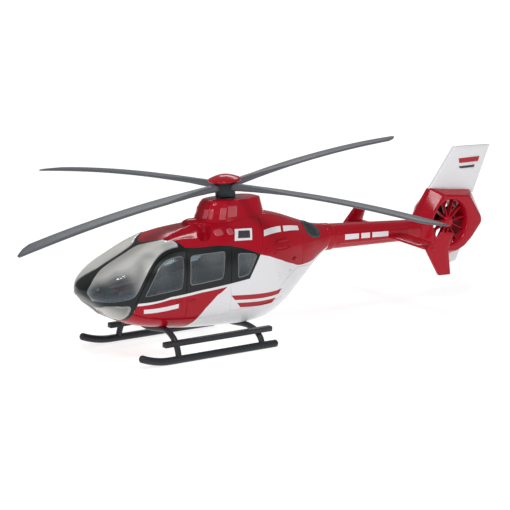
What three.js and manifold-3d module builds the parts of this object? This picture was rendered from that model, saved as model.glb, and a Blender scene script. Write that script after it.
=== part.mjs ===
// A 1:87 scale model of a light twin-engined rescue helicopter with a shrouded tail fan.
// Millimetres, +X from nose to tail, +Y to starboard, +Z up. While it is drawn, x is measured from
// the rotor mast and z from a level just under the skids; the finished group is moved so that the
// origin is the bottom centre of its bounding box.
import * as THREE from "three";
import { mergeVertices } from "three/addons/utils/BufferGeometryUtils.js";
import Module from "manifold-3d";

const wasm = await Module();
wasm.setup();

// ---------- driving dimensions ----------

const wall = 0.9; // body and glazing thickness
const joint = 0.3; // gap between two mouldings that are cut to each other
const running = 0.2; // radial clearance of a turning piece

const nose = { x: -36.3, z: 15.4 }; // tip of the nose
const podEnd = 27; // where the cabin pod meets the tail boom
const cowlFloor = 24; // parting plane between the shell and the engine cowling
const cowlRear = 16; // rear end of the engine cowling
const bellyTop = 7.4; // parting plane between the shell and the belly pan
const bellySpan = [-22, 12]; // the belly pan's ends

const mastTilt = THREE.MathUtils.degToRad(5.2); // the mast leans towards the nose
const rotorPhase = THREE.MathUtils.degToRad(10.3); // where the blades stand at rest
const rotorRadius = 58.6;
const rotorHeight = 33.9; // blade plane above the ground, on the mast axis
const mastRadius = 0.7;
const mastFoot = 24.6;
const hub = { radius: 2.1, below: 2.0, above: 1.1 };
const capSize = { radius: 3.6, rim: 0.35, rise: 1.4 };
const blade = { chord: 3.4, thick: 0.75, arch: 0.75, droop: 1.6, tip: 0.8, pitch: 3 };
// How far each tip stands above the common disc, and the extra twist of each blade in degrees.
const bladeSet = [[0, 4], [0, 1], [1.4, -4], [-0.6, -5]];

const fairing = { front: -7.5, rear: 9.7, half: 4.7, foot: 26.2, top: 31.2, lean: [2.4, 1.3] };
const dorsalDome = { x: -7.9, z: 26.9, length: 2.9, half: 1.9, rise: 1.3 };
const bush = { radius: 1.35, flange: 1.95, flangeThick: 0.4, depth: 3.2 };

const boom = { end: 54, seam: 27 };
const duct = { x: 62.4, z: 20.4, radius: 5.2 };
const shroudHalf = 3.5;
const fan = { blades: 10, hub: 1.2, depth: 1.5, y: 0.9, pitch: 38, thick: 0.3 };
const stator = { vanes: 11, hub: 1.45, front: -2.9, rear: -0.4, vaneThick: 0.3, vaneDepth: 1.1 };
const axleRadius = 0.5;

const fin = { thick: 1.8, bevel: 0.6 };
const stabiliser = { front: 44.85, chord: 5.6, thick: 0.9, z: 18.6, half: 13.75, roll: 3.2 };
const plate = { thick: 0.8, toe: THREE.MathUtils.degToRad(7) };

const skid = { track: 23, radius: 0.8, level: 1.1, front: -29.1, rear: 5.9, curl: 1.2, bend: 7 };
const crossTube = {
  radius: 0.65,
  bows: [
    { x: -19.5, path: [[0, 5.75], [5.6, 6.4], [7.7, 6.15], [9.8, 4.9], [11, 3], [11.5, 1.2]] },
    { x: 1.9, path: [[0, 4.15], [4.6, 4.5], [7, 4.45], [9.2, 3.9], [10.9, 2.6], [11.5, 1.2]] },
  ],
};
const step = { front: -22.5, rear: 4.8, y: 10.5, z: 4.3, width: 1.5, height: 1.15 };

const floorTop = 9.3;
const floorThick = 0.8;
const floorHalf = 6.6;
const screw = { xs: [-9, 6.5], head: 1.3, headThick: 0.6, shank: 0.6, length: 3.2 };

// ---------- colours ----------

const red = { color: 0xb00c22, roughness: 0.3 };
const white = { color: 0xe9e9ea, roughness: 0.35 };
const black = { color: 0x26292c, roughness: 0.5 };
const grey = { color: 0x5b5f66, roughness: 0.5 };
const darkGrey = { color: 0x2f3a3f, roughness: 0.5 };
const seatGrey = { color: 0x6b7480, roughness: 0.7 };
const steel = { color: 0xb8babd, roughness: 0.3, metalness: 1 };
const clear = { color: 0xdfe4e4, roughness: 0.1, transparent: true, opacity: 0.35 };

// ---------- solids ----------

function solid(geometry) {
  const bare = geometry.clone();
  bare.deleteAttribute("normal");
  bare.deleteAttribute("uv");
  const merged = mergeVertices(bare, 1e-4);
  return new wasm.Manifold(
    new wasm.Mesh({
      numProp: 3,
      vertProperties: new Float32Array(merged.attributes.position.array),
      triVerts: new Uint32Array(merged.index.array),
    }),
  );
}

function geometryOf(made) {
  const mesh = made.getMesh();
  const geometry = new THREE.BufferGeometry();
  geometry.setAttribute("position", new THREE.BufferAttribute(mesh.vertProperties, 3));
  geometry.setIndex(new THREE.BufferAttribute(mesh.triVerts, 1));
  geometry.computeVertexNormals();
  return geometry;
}

// A closed skin through rings of equal length, with a fan on each end.
function loft(rings) {
  const count = rings[0].length;
  const positions = rings.flat().flatMap((p) => [p.x, p.y, p.z]);
  const index = [];
  for (let i = 0; i + 1 < rings.length; i++) {
    for (let j = 0; j < count; j++) {
      const a = i * count + j;
      const b = i * count + ((j + 1) % count);
      index.push(a, b, a + count, b, b + count, a + count);
    }
  }
  const cap = (ring, start, flip) => {
    const middle = new THREE.Vector3();
    for (const p of ring) middle.addScaledVector(p, 1 / count);
    const centre = positions.length / 3;
    positions.push(middle.x, middle.y, middle.z);
    for (let j = 0; j < count; j++) {
      const edge = [start + j, start + ((j + 1) % count)];
      index.push(centre, ...(flip ? edge.reverse() : edge));
    }
  };
  cap(rings[0], 0, true);
  cap(rings.at(-1), (rings.length - 1) * count, false);
  const geometry = new THREE.BufferGeometry();
  geometry.setAttribute("position", new THREE.Float32BufferAttribute(positions, 3));
  geometry.setIndex(index);
  const made = solid(geometry);
  if (made.volume() > 0) return made;
  for (let i = 0; i < index.length; i += 3) [index[i], index[i + 1]] = [index[i + 1], index[i]];
  geometry.setIndex(index);
  return solid(geometry);
}

// A side-view outline of [x, z] points, extruded across from yLow to yHigh.
function slab(outline, yLow, yHigh, bevel = 0, bevelDepth = 0) {
  const shape = new THREE.Shape(outline.map(([x, z]) => new THREE.Vector2(x, z)));
  const geometry = new THREE.ExtrudeGeometry(shape, {
    depth: yHigh - yLow - 2 * bevelDepth,
    bevelEnabled: bevel > 0,
    bevelSize: bevel,
    bevelOffset: -bevel,
    bevelThickness: bevelDepth,
    bevelSegments: 2,
    steps: 1,
  });
  geometry.rotateX(Math.PI / 2);
  geometry.translate(0, yHigh - bevelDepth, 0);
  return solid(geometry);
}

function box(low, high) {
  const size = high.map((v, i) => v - low[i]);
  const geometry = new THREE.BoxGeometry(...size);
  geometry.translate(...high.map((v, i) => (v + low[i]) / 2));
  return solid(geometry);
}

function cylinder(radius, length, segments = 24) {
  return solid(new THREE.CylinderGeometry(radius, radius, length, segments));
}

// A cylinder along Z from zLow to zHigh, at x and y.
function post(radius, x, y, zLow, zHigh, segments = 20) {
  return cylinder(radius, zHigh - zLow, segments)
    .rotate([90, 0, 0])
    .translate([x, y, (zLow + zHigh) / 2]);
}

// A round bar along a curve.
function bar(curve, radius, sides, steps) {
  const section = new THREE.Shape();
  for (let i = 0; i < sides; i++) {
    const a = ((i + 0.5) / sides) * 2 * Math.PI;
    const point = [(radius * Math.cos(a)) / Math.cos(Math.PI / sides), radius * Math.sin(a)];
    point[1] /= Math.cos(Math.PI / sides);
    i ? section.lineTo(...point) : section.moveTo(...point);
  }
  return solid(new THREE.ExtrudeGeometry(section, { steps, extrudePath: curve }));
}

// An outline moved inwards by d, or outwards where d is negative. Its points run anticlockwise.
function inset(outline, d) {
  const turn = THREE.ShapeUtils.area(outline.map(([x, y]) => new THREE.Vector2(x, y))) > 0 ? 1 : -1;
  return outline.map((p, i) => {
    const before = outline.at(i - 1);
    const after = outline[(i + 1) % outline.length];
    const edge = (a, b) => new THREE.Vector2(b[0] - a[0], b[1] - a[1]).normalize();
    const [u, v] = [edge(before, p), edge(p, after)];
    const normal = new THREE.Vector2(-u.y - v.y, u.x + v.x).normalize();
    const stretch = d / Math.max(0.4, normal.dot(new THREE.Vector2(-u.y, u.x)));
    return [p[0] + turn * normal.x * stretch, p[1] + turn * normal.y * stretch];
  });
}

const root = new THREE.Group();

function node(name, made, look, parent = root) {
  const mesh = new THREE.Mesh(geometryOf(made), new THREE.MeshStandardMaterial(look));
  mesh.name = name;
  parent.add(mesh);
  return mesh;
}

// ---------- the pod's shape ----------

// A smooth value along x from [x, value] pairs. It follows the root of the distance from the nose,
// which rounds the nose itself.
function along(pairs) {
  const key = (x) => Math.sqrt(Math.max(0, x - nose.x));
  const curve = new THREE.CubicInterpolant(
    pairs.map(([x]) => key(x)),
    pairs.map(([, value]) => value),
    1,
  );
  return (x) => curve.evaluate(key(x))[0];
}

const podTop = along([
  [nose.x, nose.z], [-35.4, 17.0], [-33, 18.7], [-30, 20.3], [-26, 22.1], [-21, 24.4],
  [-16, 25.9], [-11, 26.7], [-6, 27.3], [2, 28.0], [8, 28.2], [13, 27.2], [18.6, 25.3],
  [23, 23.8], [podEnd, 23.1],
]);
const podBottom = along([
  [nose.x, nose.z], [-35.4, 13.8], [-33, 11.6], [-30, 9.3], [-26, 7.6], [-21, 6.5],
  [-12.5, 5.3], [-4, 4.7], [4, 4.5], [8.6, 5.3], [12.6, 7.2], [16, 9.8], [19.7, 12.6],
  [23, 15.1], [podEnd, 17.4],
]);
const podHalf = along([
  [nose.x, 0], [-35.4, 3.6], [-33, 6.1], [-30, 7.7], [-26, 8.7], [-20, 9.05], [-8, 9.1],
  [2, 9.0], [9, 8.3], [15, 6.9], [20, 5.2], [23.5, 3.9], [podEnd, 2.9],
]);
const podWaist = along([
  [nose.x, nose.z], [-30, 14.4], [-20, 13.4], [-4, 13.4], [8, 14.6], [16, 16.8], [podEnd, 20.2],
]);
const podSquare = {
  top: along([[nose.x, 3], [-30, 3.8], [-20, 3.6], [-8, 3.0], [8, 2.8], [16, 2.5], [podEnd, 2.2]]),
  low: along([[nose.x, 2.6], [-30, 2.8], [-20, 3.1], [-8, 3.0], [8, 2.8], [16, 2.5], [podEnd, 2.2]]),
};

// The pod's section at x, taken in by a thickness.
function podRing(x, thickness, count) {
  const half = podHalf(x) - thickness;
  const waist = podWaist(x);
  return Array.from({ length: count }, (_, i) => {
    const a = (i / count) * 2 * Math.PI;
    const [c, s] = [Math.cos(a), Math.sin(a)];
    const reach = s > 0 ? podTop(x) - waist - thickness : waist - podBottom(x) - thickness;
    const power = 2 / (s > 0 ? podSquare.top(x) : podSquare.low(x));
    const round = (v) => Math.sign(v) * Math.abs(v) ** power;
    return new THREE.Vector3(x, half * round(c), waist + reach * round(s));
  });
}

function pod(thickness, start, end, stations, count) {
  const [a, b] = [start, end].map((x) => Math.sqrt(x - nose.x));
  const rings = [];
  for (let i = 0; i <= stations; i++) {
    const k = a + ((b - a) * i) / stations;
    rings.push(podRing(nose.x + k * k, thickness, count));
  }
  return loft(rings);
}

const podSolid = pod(0, nose.x + 0.02, podEnd, 34, 36);
const podHollow = pod(wall, nose.x + 0.02 + 1.6 * wall, podEnd - 2, 22, 26);
const podShell = podSolid.subtract(podHollow);

// ---------- glazing, shell, belly and cowling ----------

const glazed = [
  [-45, 30], [-21, 30], [-21, 24.7], [-17.2, 24.2], [-15, 23.3], [-9, 22.8], [-1.3, 21.7],
  [3, 20.4], [0, 15.3], [-27.6, 13.7], [-30.4, 8], [-30.4, 2], [-45, 2],
];
const across = 20; // wider than anything that is cut

const glazedRoom = slab(inset(glazed, -0.02), -across, across);
const bellyBox = (grow) =>
  box([bellySpan[0] - grow, -across, 0], [bellySpan[1] + grow, across, bellyTop + grow]);
const cowlBox = (grow) => box([-30, -across, cowlFloor - grow], [cowlRear + grow, across, 40]);

// The glazing's solid is the shell inside its outline, a joint's width smaller.
node("canopy_glazing", podShell.intersect(slab(inset(glazed, joint), -across, across)), clear);

// ---------- landing gear ----------

const trackHalf = skid.track / 2;

function skidCurve(side) {
  const y = side * trackHalf;
  const { level } = skid;
  const path = new THREE.CurvePath();
  const bend = skid.front + skid.bend;
  path.add(
    new THREE.CubicBezierCurve3(
      new THREE.Vector3(skid.front, y, level + skid.curl),
      new THREE.Vector3(skid.front + 2, y, level + 0.5),
      new THREE.Vector3(bend - 3, y, level),
      new THREE.Vector3(bend, y, level),
    ),
  );
  path.add(
    new THREE.LineCurve3(new THREE.Vector3(bend, y, level), new THREE.Vector3(skid.rear, y, level)),
  );
  return path;
}

// A bow from one skid up, under the belly in a shallow groove, and down to the other skid.
function bowCurve({ x, path }) {
  const both = [...path.slice(1).reverse().map(([y, z]) => [-y, z]), ...path];
  return new THREE.CatmullRomCurve3(both.map(([y, z]) => new THREE.Vector3(x, y, z)));
}

const skidBar = (side, grow) => bar(skidCurve(side), skid.radius + grow, 12, 20);
const bowBar = (bow, grow) => bar(bowCurve(bow), crossTube.radius + grow, 8, 32);
const bowRoom = crossTube.bows.map((bow) => bowBar(bow, joint));

for (const [side, name] of [[-1, "port"], [1, "starboard"]]) {
  node("skid_tube_" + name, skidBar(side, 0), black);
}
crossTube.bows.forEach((bow, i) => {
  const made = bowBar(bow, 0).subtract(skidBar(-1, joint)).subtract(skidBar(1, joint));
  node(["front", "rear"][i] + "_cross_tube", made, black);
});

// The steps are clipped to the bows, which pass through them.
for (const [side, name] of [[-1, "port"], [1, "starboard"]]) {
  const rounded = inset(
    [[-step.width / 2, -step.height / 2], [step.width / 2, -step.height / 2],
      [step.width / 2, step.height / 2], [-step.width / 2, step.height / 2]],
    0,
  );
  const shape = new THREE.Shape(rounded.map(([y, z]) => new THREE.Vector2(y, z)));
  const length = step.rear - step.front;
  const plank = new THREE.ExtrudeGeometry(shape, {
    depth: length - 0.5,
    bevelEnabled: true,
    bevelSize: 0.25,
    bevelOffset: -0.25,
    bevelThickness: 0.25,
    bevelSegments: 1,
  });
  plank.rotateX(Math.PI / 2);
  plank.rotateZ(Math.PI / 2);
  plank.translate(step.front + 0.25, side * step.y, step.z);
  const made = bowRoom.reduce((rest, room) => rest.subtract(room), solid(plank));
  node("step_" + name, made, black);
}

// ---------- belly, floor and screws ----------

const bosses = screw.xs.map((x) => {
  const seat = podBottom(x) + wall;
  return { x, seat, top: floorTop - floorThick };
});

let bellyPan = podShell.intersect(bellyBox(0));
for (const room of bowRoom) bellyPan = bellyPan.subtract(room);
for (const { x, seat } of bosses) {
  const low = podBottom(x);
  bellyPan = bellyPan
    .add(post(screw.head + 0.9, x, 0, low + 0.2, seat + 0.9))
    .subtract(post(screw.shank + joint, x, 0, 0, floorTop))
    .subtract(post(screw.head + joint, x, 0, 0, low + screw.headThick + joint));
}
node("belly_pan", bellyPan, white);

bosses.forEach(({ x }, i) => {
  const low = podBottom(x) + 0.1;
  const made = post(screw.head, x, 0, low, low + screw.headThick)
    .add(post(screw.shank, x, 0, low + 0.1, low + screw.length))
    .subtract(box([x - 1, -0.15, low - 1], [x + 1, 0.15, low + 0.25]));
  node(["front", "rear"][i] + "_belly_screw", made, steel);
});

let shell = podShell
  .subtract(glazedRoom)
  .subtract(bellyBox(joint))
  .subtract(cowlBox(joint));
for (const room of bowRoom) shell = shell.subtract(room);
shell = shell.decompose().sort((a, b) => b.volume() - a.volume())[0];

// ---------- engine cowling, intakes, fairing and exhausts ----------

// The sloping ramp ahead of each engine, ending in a rounded scoop that leads the air in.
function intakeCut(side) {
  const low = [[-24, 5.2], [-12, 6.7], [-9.4, 7.2], [-9.4, 12], [-24, 12]];
  const high = [[-24, 0.4], [-12, 1.5], [-9.0, 2.4], [-9.0, 12], [-24, 12]];
  const ring = (outline, z) => outline.map(([x, y]) => new THREE.Vector3(x, side * y, z));
  const scoop = solid(new THREE.SphereGeometry(1, 24, 16))
    .scale([2.3, 2.5, 2.0])
    .rotate([side * -38, 0, 0])
    .translate([-9.7, side * 5.0, 25.9]);
  return loft([ring(low, cowlFloor + 0.1), ring(high, cowlFloor + 3.7)]).add(scoop);
}

// The fairing's rounded plan outline at one height, t running from foot to top.
function fairingRing(t, grow) {
  const z = fairing.foot + (fairing.top - fairing.foot) * t - (t === 0 ? grow : 0);
  const front = fairing.front + fairing.lean[0] * t - grow;
  const rear = fairing.rear - fairing.lean[1] * t + grow;
  const half = fairing.half - 1.3 * t + grow;
  const middle = (front + rear) / 2;
  return Array.from({ length: 28 }, (_, i) => {
    const a = (i / 28) * 2 * Math.PI;
    const round = (v) => Math.sign(v) * Math.abs(v) ** 0.72;
    const x = middle + ((rear - front) / 2) * round(Math.cos(a));
    return new THREE.Vector3(x, half * round(Math.sin(a)), z);
  });
}

const fairingSolid = (grow) => {
  const rings = [0, 0.45, 0.8, 0.93].map((t) => fairingRing(t, grow));
  rings.push(fairingRing(1, grow - 0.5));
  const dome = solid(new THREE.SphereGeometry(1, 16, 10))
    .scale([dorsalDome.length + grow, dorsalDome.half + grow, dorsalDome.rise + grow])
    .translate([dorsalDome.x, 0, dorsalDome.z]);
  return loft(rings).add(dome);
};

// The mast's own frame: its origin is where the mast axis crosses the blade plane.
const mastMatrix = new THREE.Matrix4()
  .makeTranslation(0, 0, rotorHeight)
  .multiply(new THREE.Matrix4().makeRotationY(-mastTilt));
const toMast = (made) => made.transform(mastMatrix.elements);

const bushTop = -hub.below - 0.2; // in the mast's frame
const bushHole = toMast(post(bush.radius + joint, 0, 0, bushTop - bush.depth - joint, 10));
const flangeSeat = toMast(post(bush.flange + joint, 0, 0, bushTop - bush.flangeThick, 10));
const mastHole = toMast(post(mastRadius + running, 0, 0, -12, 10));

const exhaustAxis = { x: 20.2, y: 4.3, z: 22.7, pitch: 18, yaw: 32 };

function exhaustTube(side, radius, length, back) {
  return cylinder(radius, length, 24)
    .scale([1, 1, 1.18])
    .rotate([0, 0, 90])
    .translate([length / 2 - back, 0, 0])
    .rotate([0, exhaustAxis.pitch, side * exhaustAxis.yaw])
    .translate([exhaustAxis.x, side * exhaustAxis.y, exhaustAxis.z]);
}

let cowling = podSolid.intersect(cowlBox(0)).subtract(glazedRoom);
for (const side of [-1, 1]) cowling = cowling.subtract(intakeCut(side));
cowling = cowling.subtract(fairingSolid(joint)).subtract(bushHole).subtract(mastHole);
node("engine_cowling", cowling, red);

node(
  "mast_fairing",
  fairingSolid(0).subtract(bushHole).subtract(flangeSeat).subtract(mastHole),
  red,
);
node(
  "mast_bush",
  toMast(
    post(bush.radius, 0, 0, bushTop - bush.depth, bushTop)
      .add(post(bush.flange, 0, 0, bushTop - bush.flangeThick + joint, bushTop))
      .subtract(post(mastRadius + running, 0, 0, -12, 10)),
  ),
  darkGrey,
);

for (const [side, name] of [[-1, "port"], [1, "starboard"]]) {
  const pipe = exhaustTube(side, 2.0, 2.9, 1.9).subtract(exhaustTube(side, 1.5, 3.4, 0.9));
  node("exhaust_" + name, pipe, darkGrey);
  shell = shell.subtract(exhaustTube(side, 2.0 + joint, 6, 2.2));
}
node("fuselage_shell", shell, red);

// ---------- cabin ----------

// Everything inside keeps clear of the shell by a joint's width.
const cabinRoom = pod(wall + joint, nose.x + 2.2, podEnd - 4, 24, 32);

let floor = box([-27, -floorHalf, floorTop - floorThick], [7.5, floorHalf, floorTop])
  .intersect(cabinRoom);
for (const { x, seat, top } of bosses) {
  floor = floor
    .add(post(screw.head + 0.6, x, 0, seat + 0.9 + 0.05, top + 0.1))
    .subtract(post(screw.shank + 0.05, x, 0, 0, floorTop - 0.3));
}
node("cabin_floor", floor, seatGrey);

const seatShape = [
  [0, 0.05], [4.6, 0.05], [6.4, 8.2], [5.5, 8.5], [4.9, 8.2], [3.7, 2.9], [0.3, 2.5], [-0.2, 1.9],
];
function seat(x, y, half) {
  const outline = seatShape.map(([u, w]) => [x + u, floorTop + w]);
  return slab(outline, y - half, y + half, 0.35, 0.35).intersect(cabinRoom);
}
node("pilot_seat", seat(-22.5, 3.5, 2.1), seatGrey);
node("copilot_seat", seat(-22.5, -3.5, 2.1), seatGrey);
node("rear_bench", seat(-7.5, 0, 6.2), seatGrey);

const pedestal = [
  [-28.8, 0.05], [-25.4, 0.05], [-25.4, 1.6], [-27.4, 2.4], [-29.0, 4.6], [-30.8, 4.9], [-30, 1.6],
].map(([x, z]) => [x, floorTop + z]);
const panel = [[-32.2, 14.0], [-29.2, 13.2], [-29.3, 15.4], [-30.4, 15.8], [-32.2, 15.1]];
node(
  "instrument_panel",
  slab(pedestal, -1.5, 1.5).add(slab(panel, -4.2, 4.2, 0.3, 0.3)).intersect(cabinRoom),
  black,
);
const bulkhead = box([1.2, -across, floorTop + 0.05], [2.1, across, cowlFloor - joint]);
node("rear_bulkhead", bulkhead.intersect(cabinRoom), seatGrey);

// ---------- tail ----------

const boomLevel = (x) => THREE.MathUtils.mapLinear(x, boom.seam, boom.end, 20.25, 19.0);
const boomTall = (x) => THREE.MathUtils.mapLinear(x, boom.seam, boom.end, 2.85, 2.3);
const boomWide = (x) => THREE.MathUtils.mapLinear(x, boom.seam, boom.end, 2.75, 2.0);

function boomRing(x) {
  return Array.from({ length: 28 }, (_, i) => {
    const a = (i / 28) * 2 * Math.PI;
    const round = (v) => Math.sign(v) * Math.abs(v) ** 0.86;
    const z = boomLevel(x) + boomTall(x) * round(Math.sin(a));
    return new THREE.Vector3(x, boomWide(x) * round(Math.cos(a)), z);
  });
}
const boomBar = loft([boom.seam + joint, 34, 44, boom.end].map((x) => boomRing(x)));

// The stabiliser passes through the boom in one length.
const wingOutline = (grow) => {
  const { front, chord, thick } = stabiliser;
  const half = thick / 2 + grow;
  return [
    [front - grow, 0], [front + 0.5, -half * 0.85], [front + chord * 0.4, -half],
    [front + chord + grow, -0.15 - grow], [front + chord + grow, 0.15 + grow],
    [front + chord * 0.4, half], [front + 0.5, half * 0.85],
  ].map(([x, z]) => [x, z + stabiliser.z]);
};
const rolled = (made) =>
  made
    .translate([0, 0, -stabiliser.z])
    .rotate([stabiliser.roll, 0, 0])
    .translate([0, 0, stabiliser.z]);
node("tail_boom", boomBar.subtract(rolled(slab(wingOutline(joint), -across, across))), red);
node(
  "horizontal_stabiliser",
  rolled(slab(wingOutline(0), -stabiliser.half, stabiliser.half)),
  red,
);

const plateShape = [
  [3.9, 22.1], [7.2, 21.8], [6.0, 18.3], [7.1, 12.2], [3.9, 12.2], [0, 18.4],
];
for (const [side, name] of [[-1, "port"], [1, "starboard"]]) {
  const made = slab(plateShape, -plate.thick / 2, plate.thick / 2, 0.25, 0.25)
    .rotate([0, 0, (-side * plate.toe * 180) / Math.PI])
    .translate([stabiliser.front, side * (stabiliser.half + plate.thick / 2 + 0.75), 0]);
  node("endplate_" + name, rolled(made), red);
}

// Each row is a corner of the shroud: x, z and half-thickness at the edge, x and z on the face.
const shroudCorners = [
  [boom.end + joint, 16.9, 1.9, 58.6, 16.6], [58, 14.2, 1.2, 60.0, 14.9],
  [61, 12.7, 0.5, 61.9, 13.6], [64.5, 12.1, 0.4, 64.6, 13.5], [68, 12.9, 0.4, 67.0, 14.5],
  [71.2, 14.9, 0.4, 69.2, 16.4], [74.8, 19.2, 0.4, 72.0, 19.6], [74.7, 20.4, 0.4, 71.9, 20.8],
  [71.6, 25.6, 0.4, 68.8, 24.8], [70.6, 26.7, 0.4, 67.6, 25.9], [57.7, 28.0, 0.5, 60.2, 26.5],
  [55.2, 24.0, 0.7, 57.8, 23.2], [boom.end + joint, 21.3, 1.5, 57.2, 20.6],
];
const shroudRing = (side, face) =>
  shroudCorners.map(([x, z, edge, faceX, faceZ]) =>
    face
      ? new THREE.Vector3(faceX, side * shroudHalf, faceZ)
      : new THREE.Vector3(x, side * edge, z),
  );
function around(count, radius, phase = 0) {
  return Array.from({ length: count }, (_, i) => {
    const a = phase + (i / count) * 2 * Math.PI;
    return [radius * Math.cos(a), radius * Math.sin(a)];
  });
}
const ductHole = (radius, yLow, yHigh, segments = 40) =>
  slab(around(segments, radius).map(([x, z]) => [duct.x + x, duct.z + z]), yLow, yHigh);

let fenestron = loft([
  shroudRing(-1, true), shroudRing(-1, false), shroudRing(1, false), shroudRing(1, true),
]).subtract(ductHole(duct.radius, -across, across));
for (let i = 0; i < stator.vanes; i++) {
  const angle = (i / stator.vanes) * 360 + 8;
  const vane = box(
    [stator.hub - 0.4, stator.front + 0.3, -stator.vaneThick / 2],
    [duct.radius + 0.4, stator.front + 0.3 + stator.vaneDepth, stator.vaneThick / 2],
  );
  fenestron = fenestron.add(vane.rotate([0, angle, 0]).translate([duct.x, 0, duct.z]));
}
fenestron = fenestron
  .add(ductHole(stator.hub, stator.front, stator.rear, 20))
  .add(box(
    [duct.x - duct.radius - 0.4, stator.front + 0.1, duct.z - 0.55],
    [duct.x, stator.front + 1.6, duct.z + 0.55],
  ))
  .subtract(ductHole(axleRadius + 0.05, -1.9, across, 16));
node("fenestron_shroud", fenestron, red);

const fanBlade = box(
  [fan.hub - 0.3, -fan.depth / 2, -fan.thick / 2],
  [duct.radius - joint, fan.depth / 2, fan.thick / 2],
);
let fanRotor = ductHole(fan.hub, fan.y - 0.9, fan.y + 0.9, 20);
for (let i = 0; i < fan.blades; i++) {
  fanRotor = fanRotor.add(
    fanBlade
      .rotate([fan.pitch, 0, 0])
      .rotate([0, (i / fan.blades) * 360, 0])
      .translate([duct.x, fan.y, duct.z]),
  );
}
fanRotor = fanRotor.subtract(ductHole(axleRadius + running, -across, across, 16));
node("tail_fan", fanRotor, grey);
node(
  "fan_axle",
  ductHole(axleRadius - 0.05, -1.7, fan.y + 1.3, 16).add(
    ductHole(axleRadius + 0.45, fan.y + 0.9 + running, fan.y + 1.6, 16),
  ),
  steel,
);

const finOutline = [
  [57.9, 28.3], [65.4, 37.5], [76.9, 37.2], [72.0, 26.9],
];
node("vertical_fin", slab(finOutline, -fin.thick / 2, fin.thick / 2, fin.bevel, fin.bevel), white);
const lowerFinOutline = [
  [61.2, 12.3], [64.6, 11.75], [68.6, 12.8], [67.3, 10.4], [65.6, 9.4], [62.3, 9.6],
];
node(
  "lower_fin",
  slab(lowerFinOutline, -0.8, 0.8, 0.3, 0.3),
  white,
);

// ---------- rotor ----------

const rotor = new THREE.Group();
rotor.applyMatrix4(mastMatrix);
root.add(rotor);

const turned = new THREE.Group(); // blades, hub and cap stand turned by the rest angle
turned.rotation.z = rotorPhase;
rotor.add(turned);

node("rotor_mast", post(mastRadius, 0, 0, mastFoot - rotorHeight, hub.above, 20), steel, rotor);

const hubShape = post(hub.radius, 0, 0, -hub.below, hub.above, 24)
  .subtract(post(mastRadius + 0.05, 0, 0, -hub.below - 1, hub.above + joint, 20));
node("rotor_hub", hubShape, darkGrey, turned);

const capProfile = [
  [0, 0], [capSize.radius - 0.15, 0], [capSize.radius, capSize.rim * 0.5],
  [capSize.radius - 0.1, capSize.rim], [2.9, 0.85], [2.0, 1.2], [1.0, capSize.rise - 0.03],
  [0, capSize.rise],
].map(([r, z]) => new THREE.Vector2(r, z));
const capSolid = solid(new THREE.LatheGeometry(capProfile, 32))
  .rotate([90, 0, 0])
  .translate([0, 0, hub.above + 0.15]);
node("rotor_cap", capSolid, red, turned);

// A blade lies along -X from its root. Each row is radius, width, height, sweep and twist.
const bladeRows = [
  [hub.radius + joint, 1.7, 1.7, 0, 0], [6, 1.8, 1.5, 0, 0], [10, 2.2, 1.25, 0, 0.4],
  [15, 2.9, 1.0, -0.1, 0.8], [19, blade.chord, blade.thick, -0.15, 1],
  ...[0.5, 0.65, 0.8].map((t) => [rotorRadius * t, blade.chord, blade.thick, -0.15, 1]),
  [rotorRadius - 5, blade.chord, blade.thick * 0.9, -0.15, 1],
  [rotorRadius - 2.6, 2.5, blade.thick * 0.75, -0.55, 1],
  [rotorRadius - 0.8, 1.3, 0.5, -1.1, 1], [rotorRadius, blade.tip, 0.35, -1.35, 1],
];
function bladeRing([radius, width, height, sweep, twist]) {
  const t = radius / rotorRadius;
  const lift = 4 * blade.arch * t * (1 - t) - blade.droop * t * t;
  const squareness = radius < 12 ? 0.6 : 0.9;
  const pitch = THREE.MathUtils.degToRad(blade.pitch) * twist;
  return Array.from({ length: 14 }, (_, i) => {
    const a = (i / 14) * 2 * Math.PI;
    const round = (v, k) => Math.sign(v) * Math.abs(v) ** k;
    const y = (width / 2) * round(Math.cos(a), squareness) + sweep;
    const z = lift + (height / 2) * round(Math.sin(a), squareness) + y * Math.tan(pitch);
    return new THREE.Vector3(-radius, y, z);
  });
}
const bladeSolid = loft(bladeRows.map(bladeRing));
for (let i = 0; i < 4; i++) {
  const arm = new THREE.Group();
  const [rise, twist] = bladeSet[i];
  const quarter = (i * Math.PI) / 2;
  arm.rotation.set(THREE.MathUtils.degToRad(twist), rise / rotorRadius, quarter, "ZYX");
  turned.add(arm);
  node("rotor_blade_" + (i + 1), bladeSolid, grey, arm);
}

// The origin is the bottom centre of the finished model's box.
root.updateMatrixWorld(true);
const bounds = new THREE.Box3().setFromObject(root, true);
root.position.set(-(bounds.min.x + bounds.max.x) / 2, 0, -bounds.min.z);

export default root;
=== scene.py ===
import math

import bmesh
import bpy
import numpy as np
from mathutils import Matrix, Vector, kdtree
from mathutils.geometry import delaunay_2d_cdt


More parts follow.
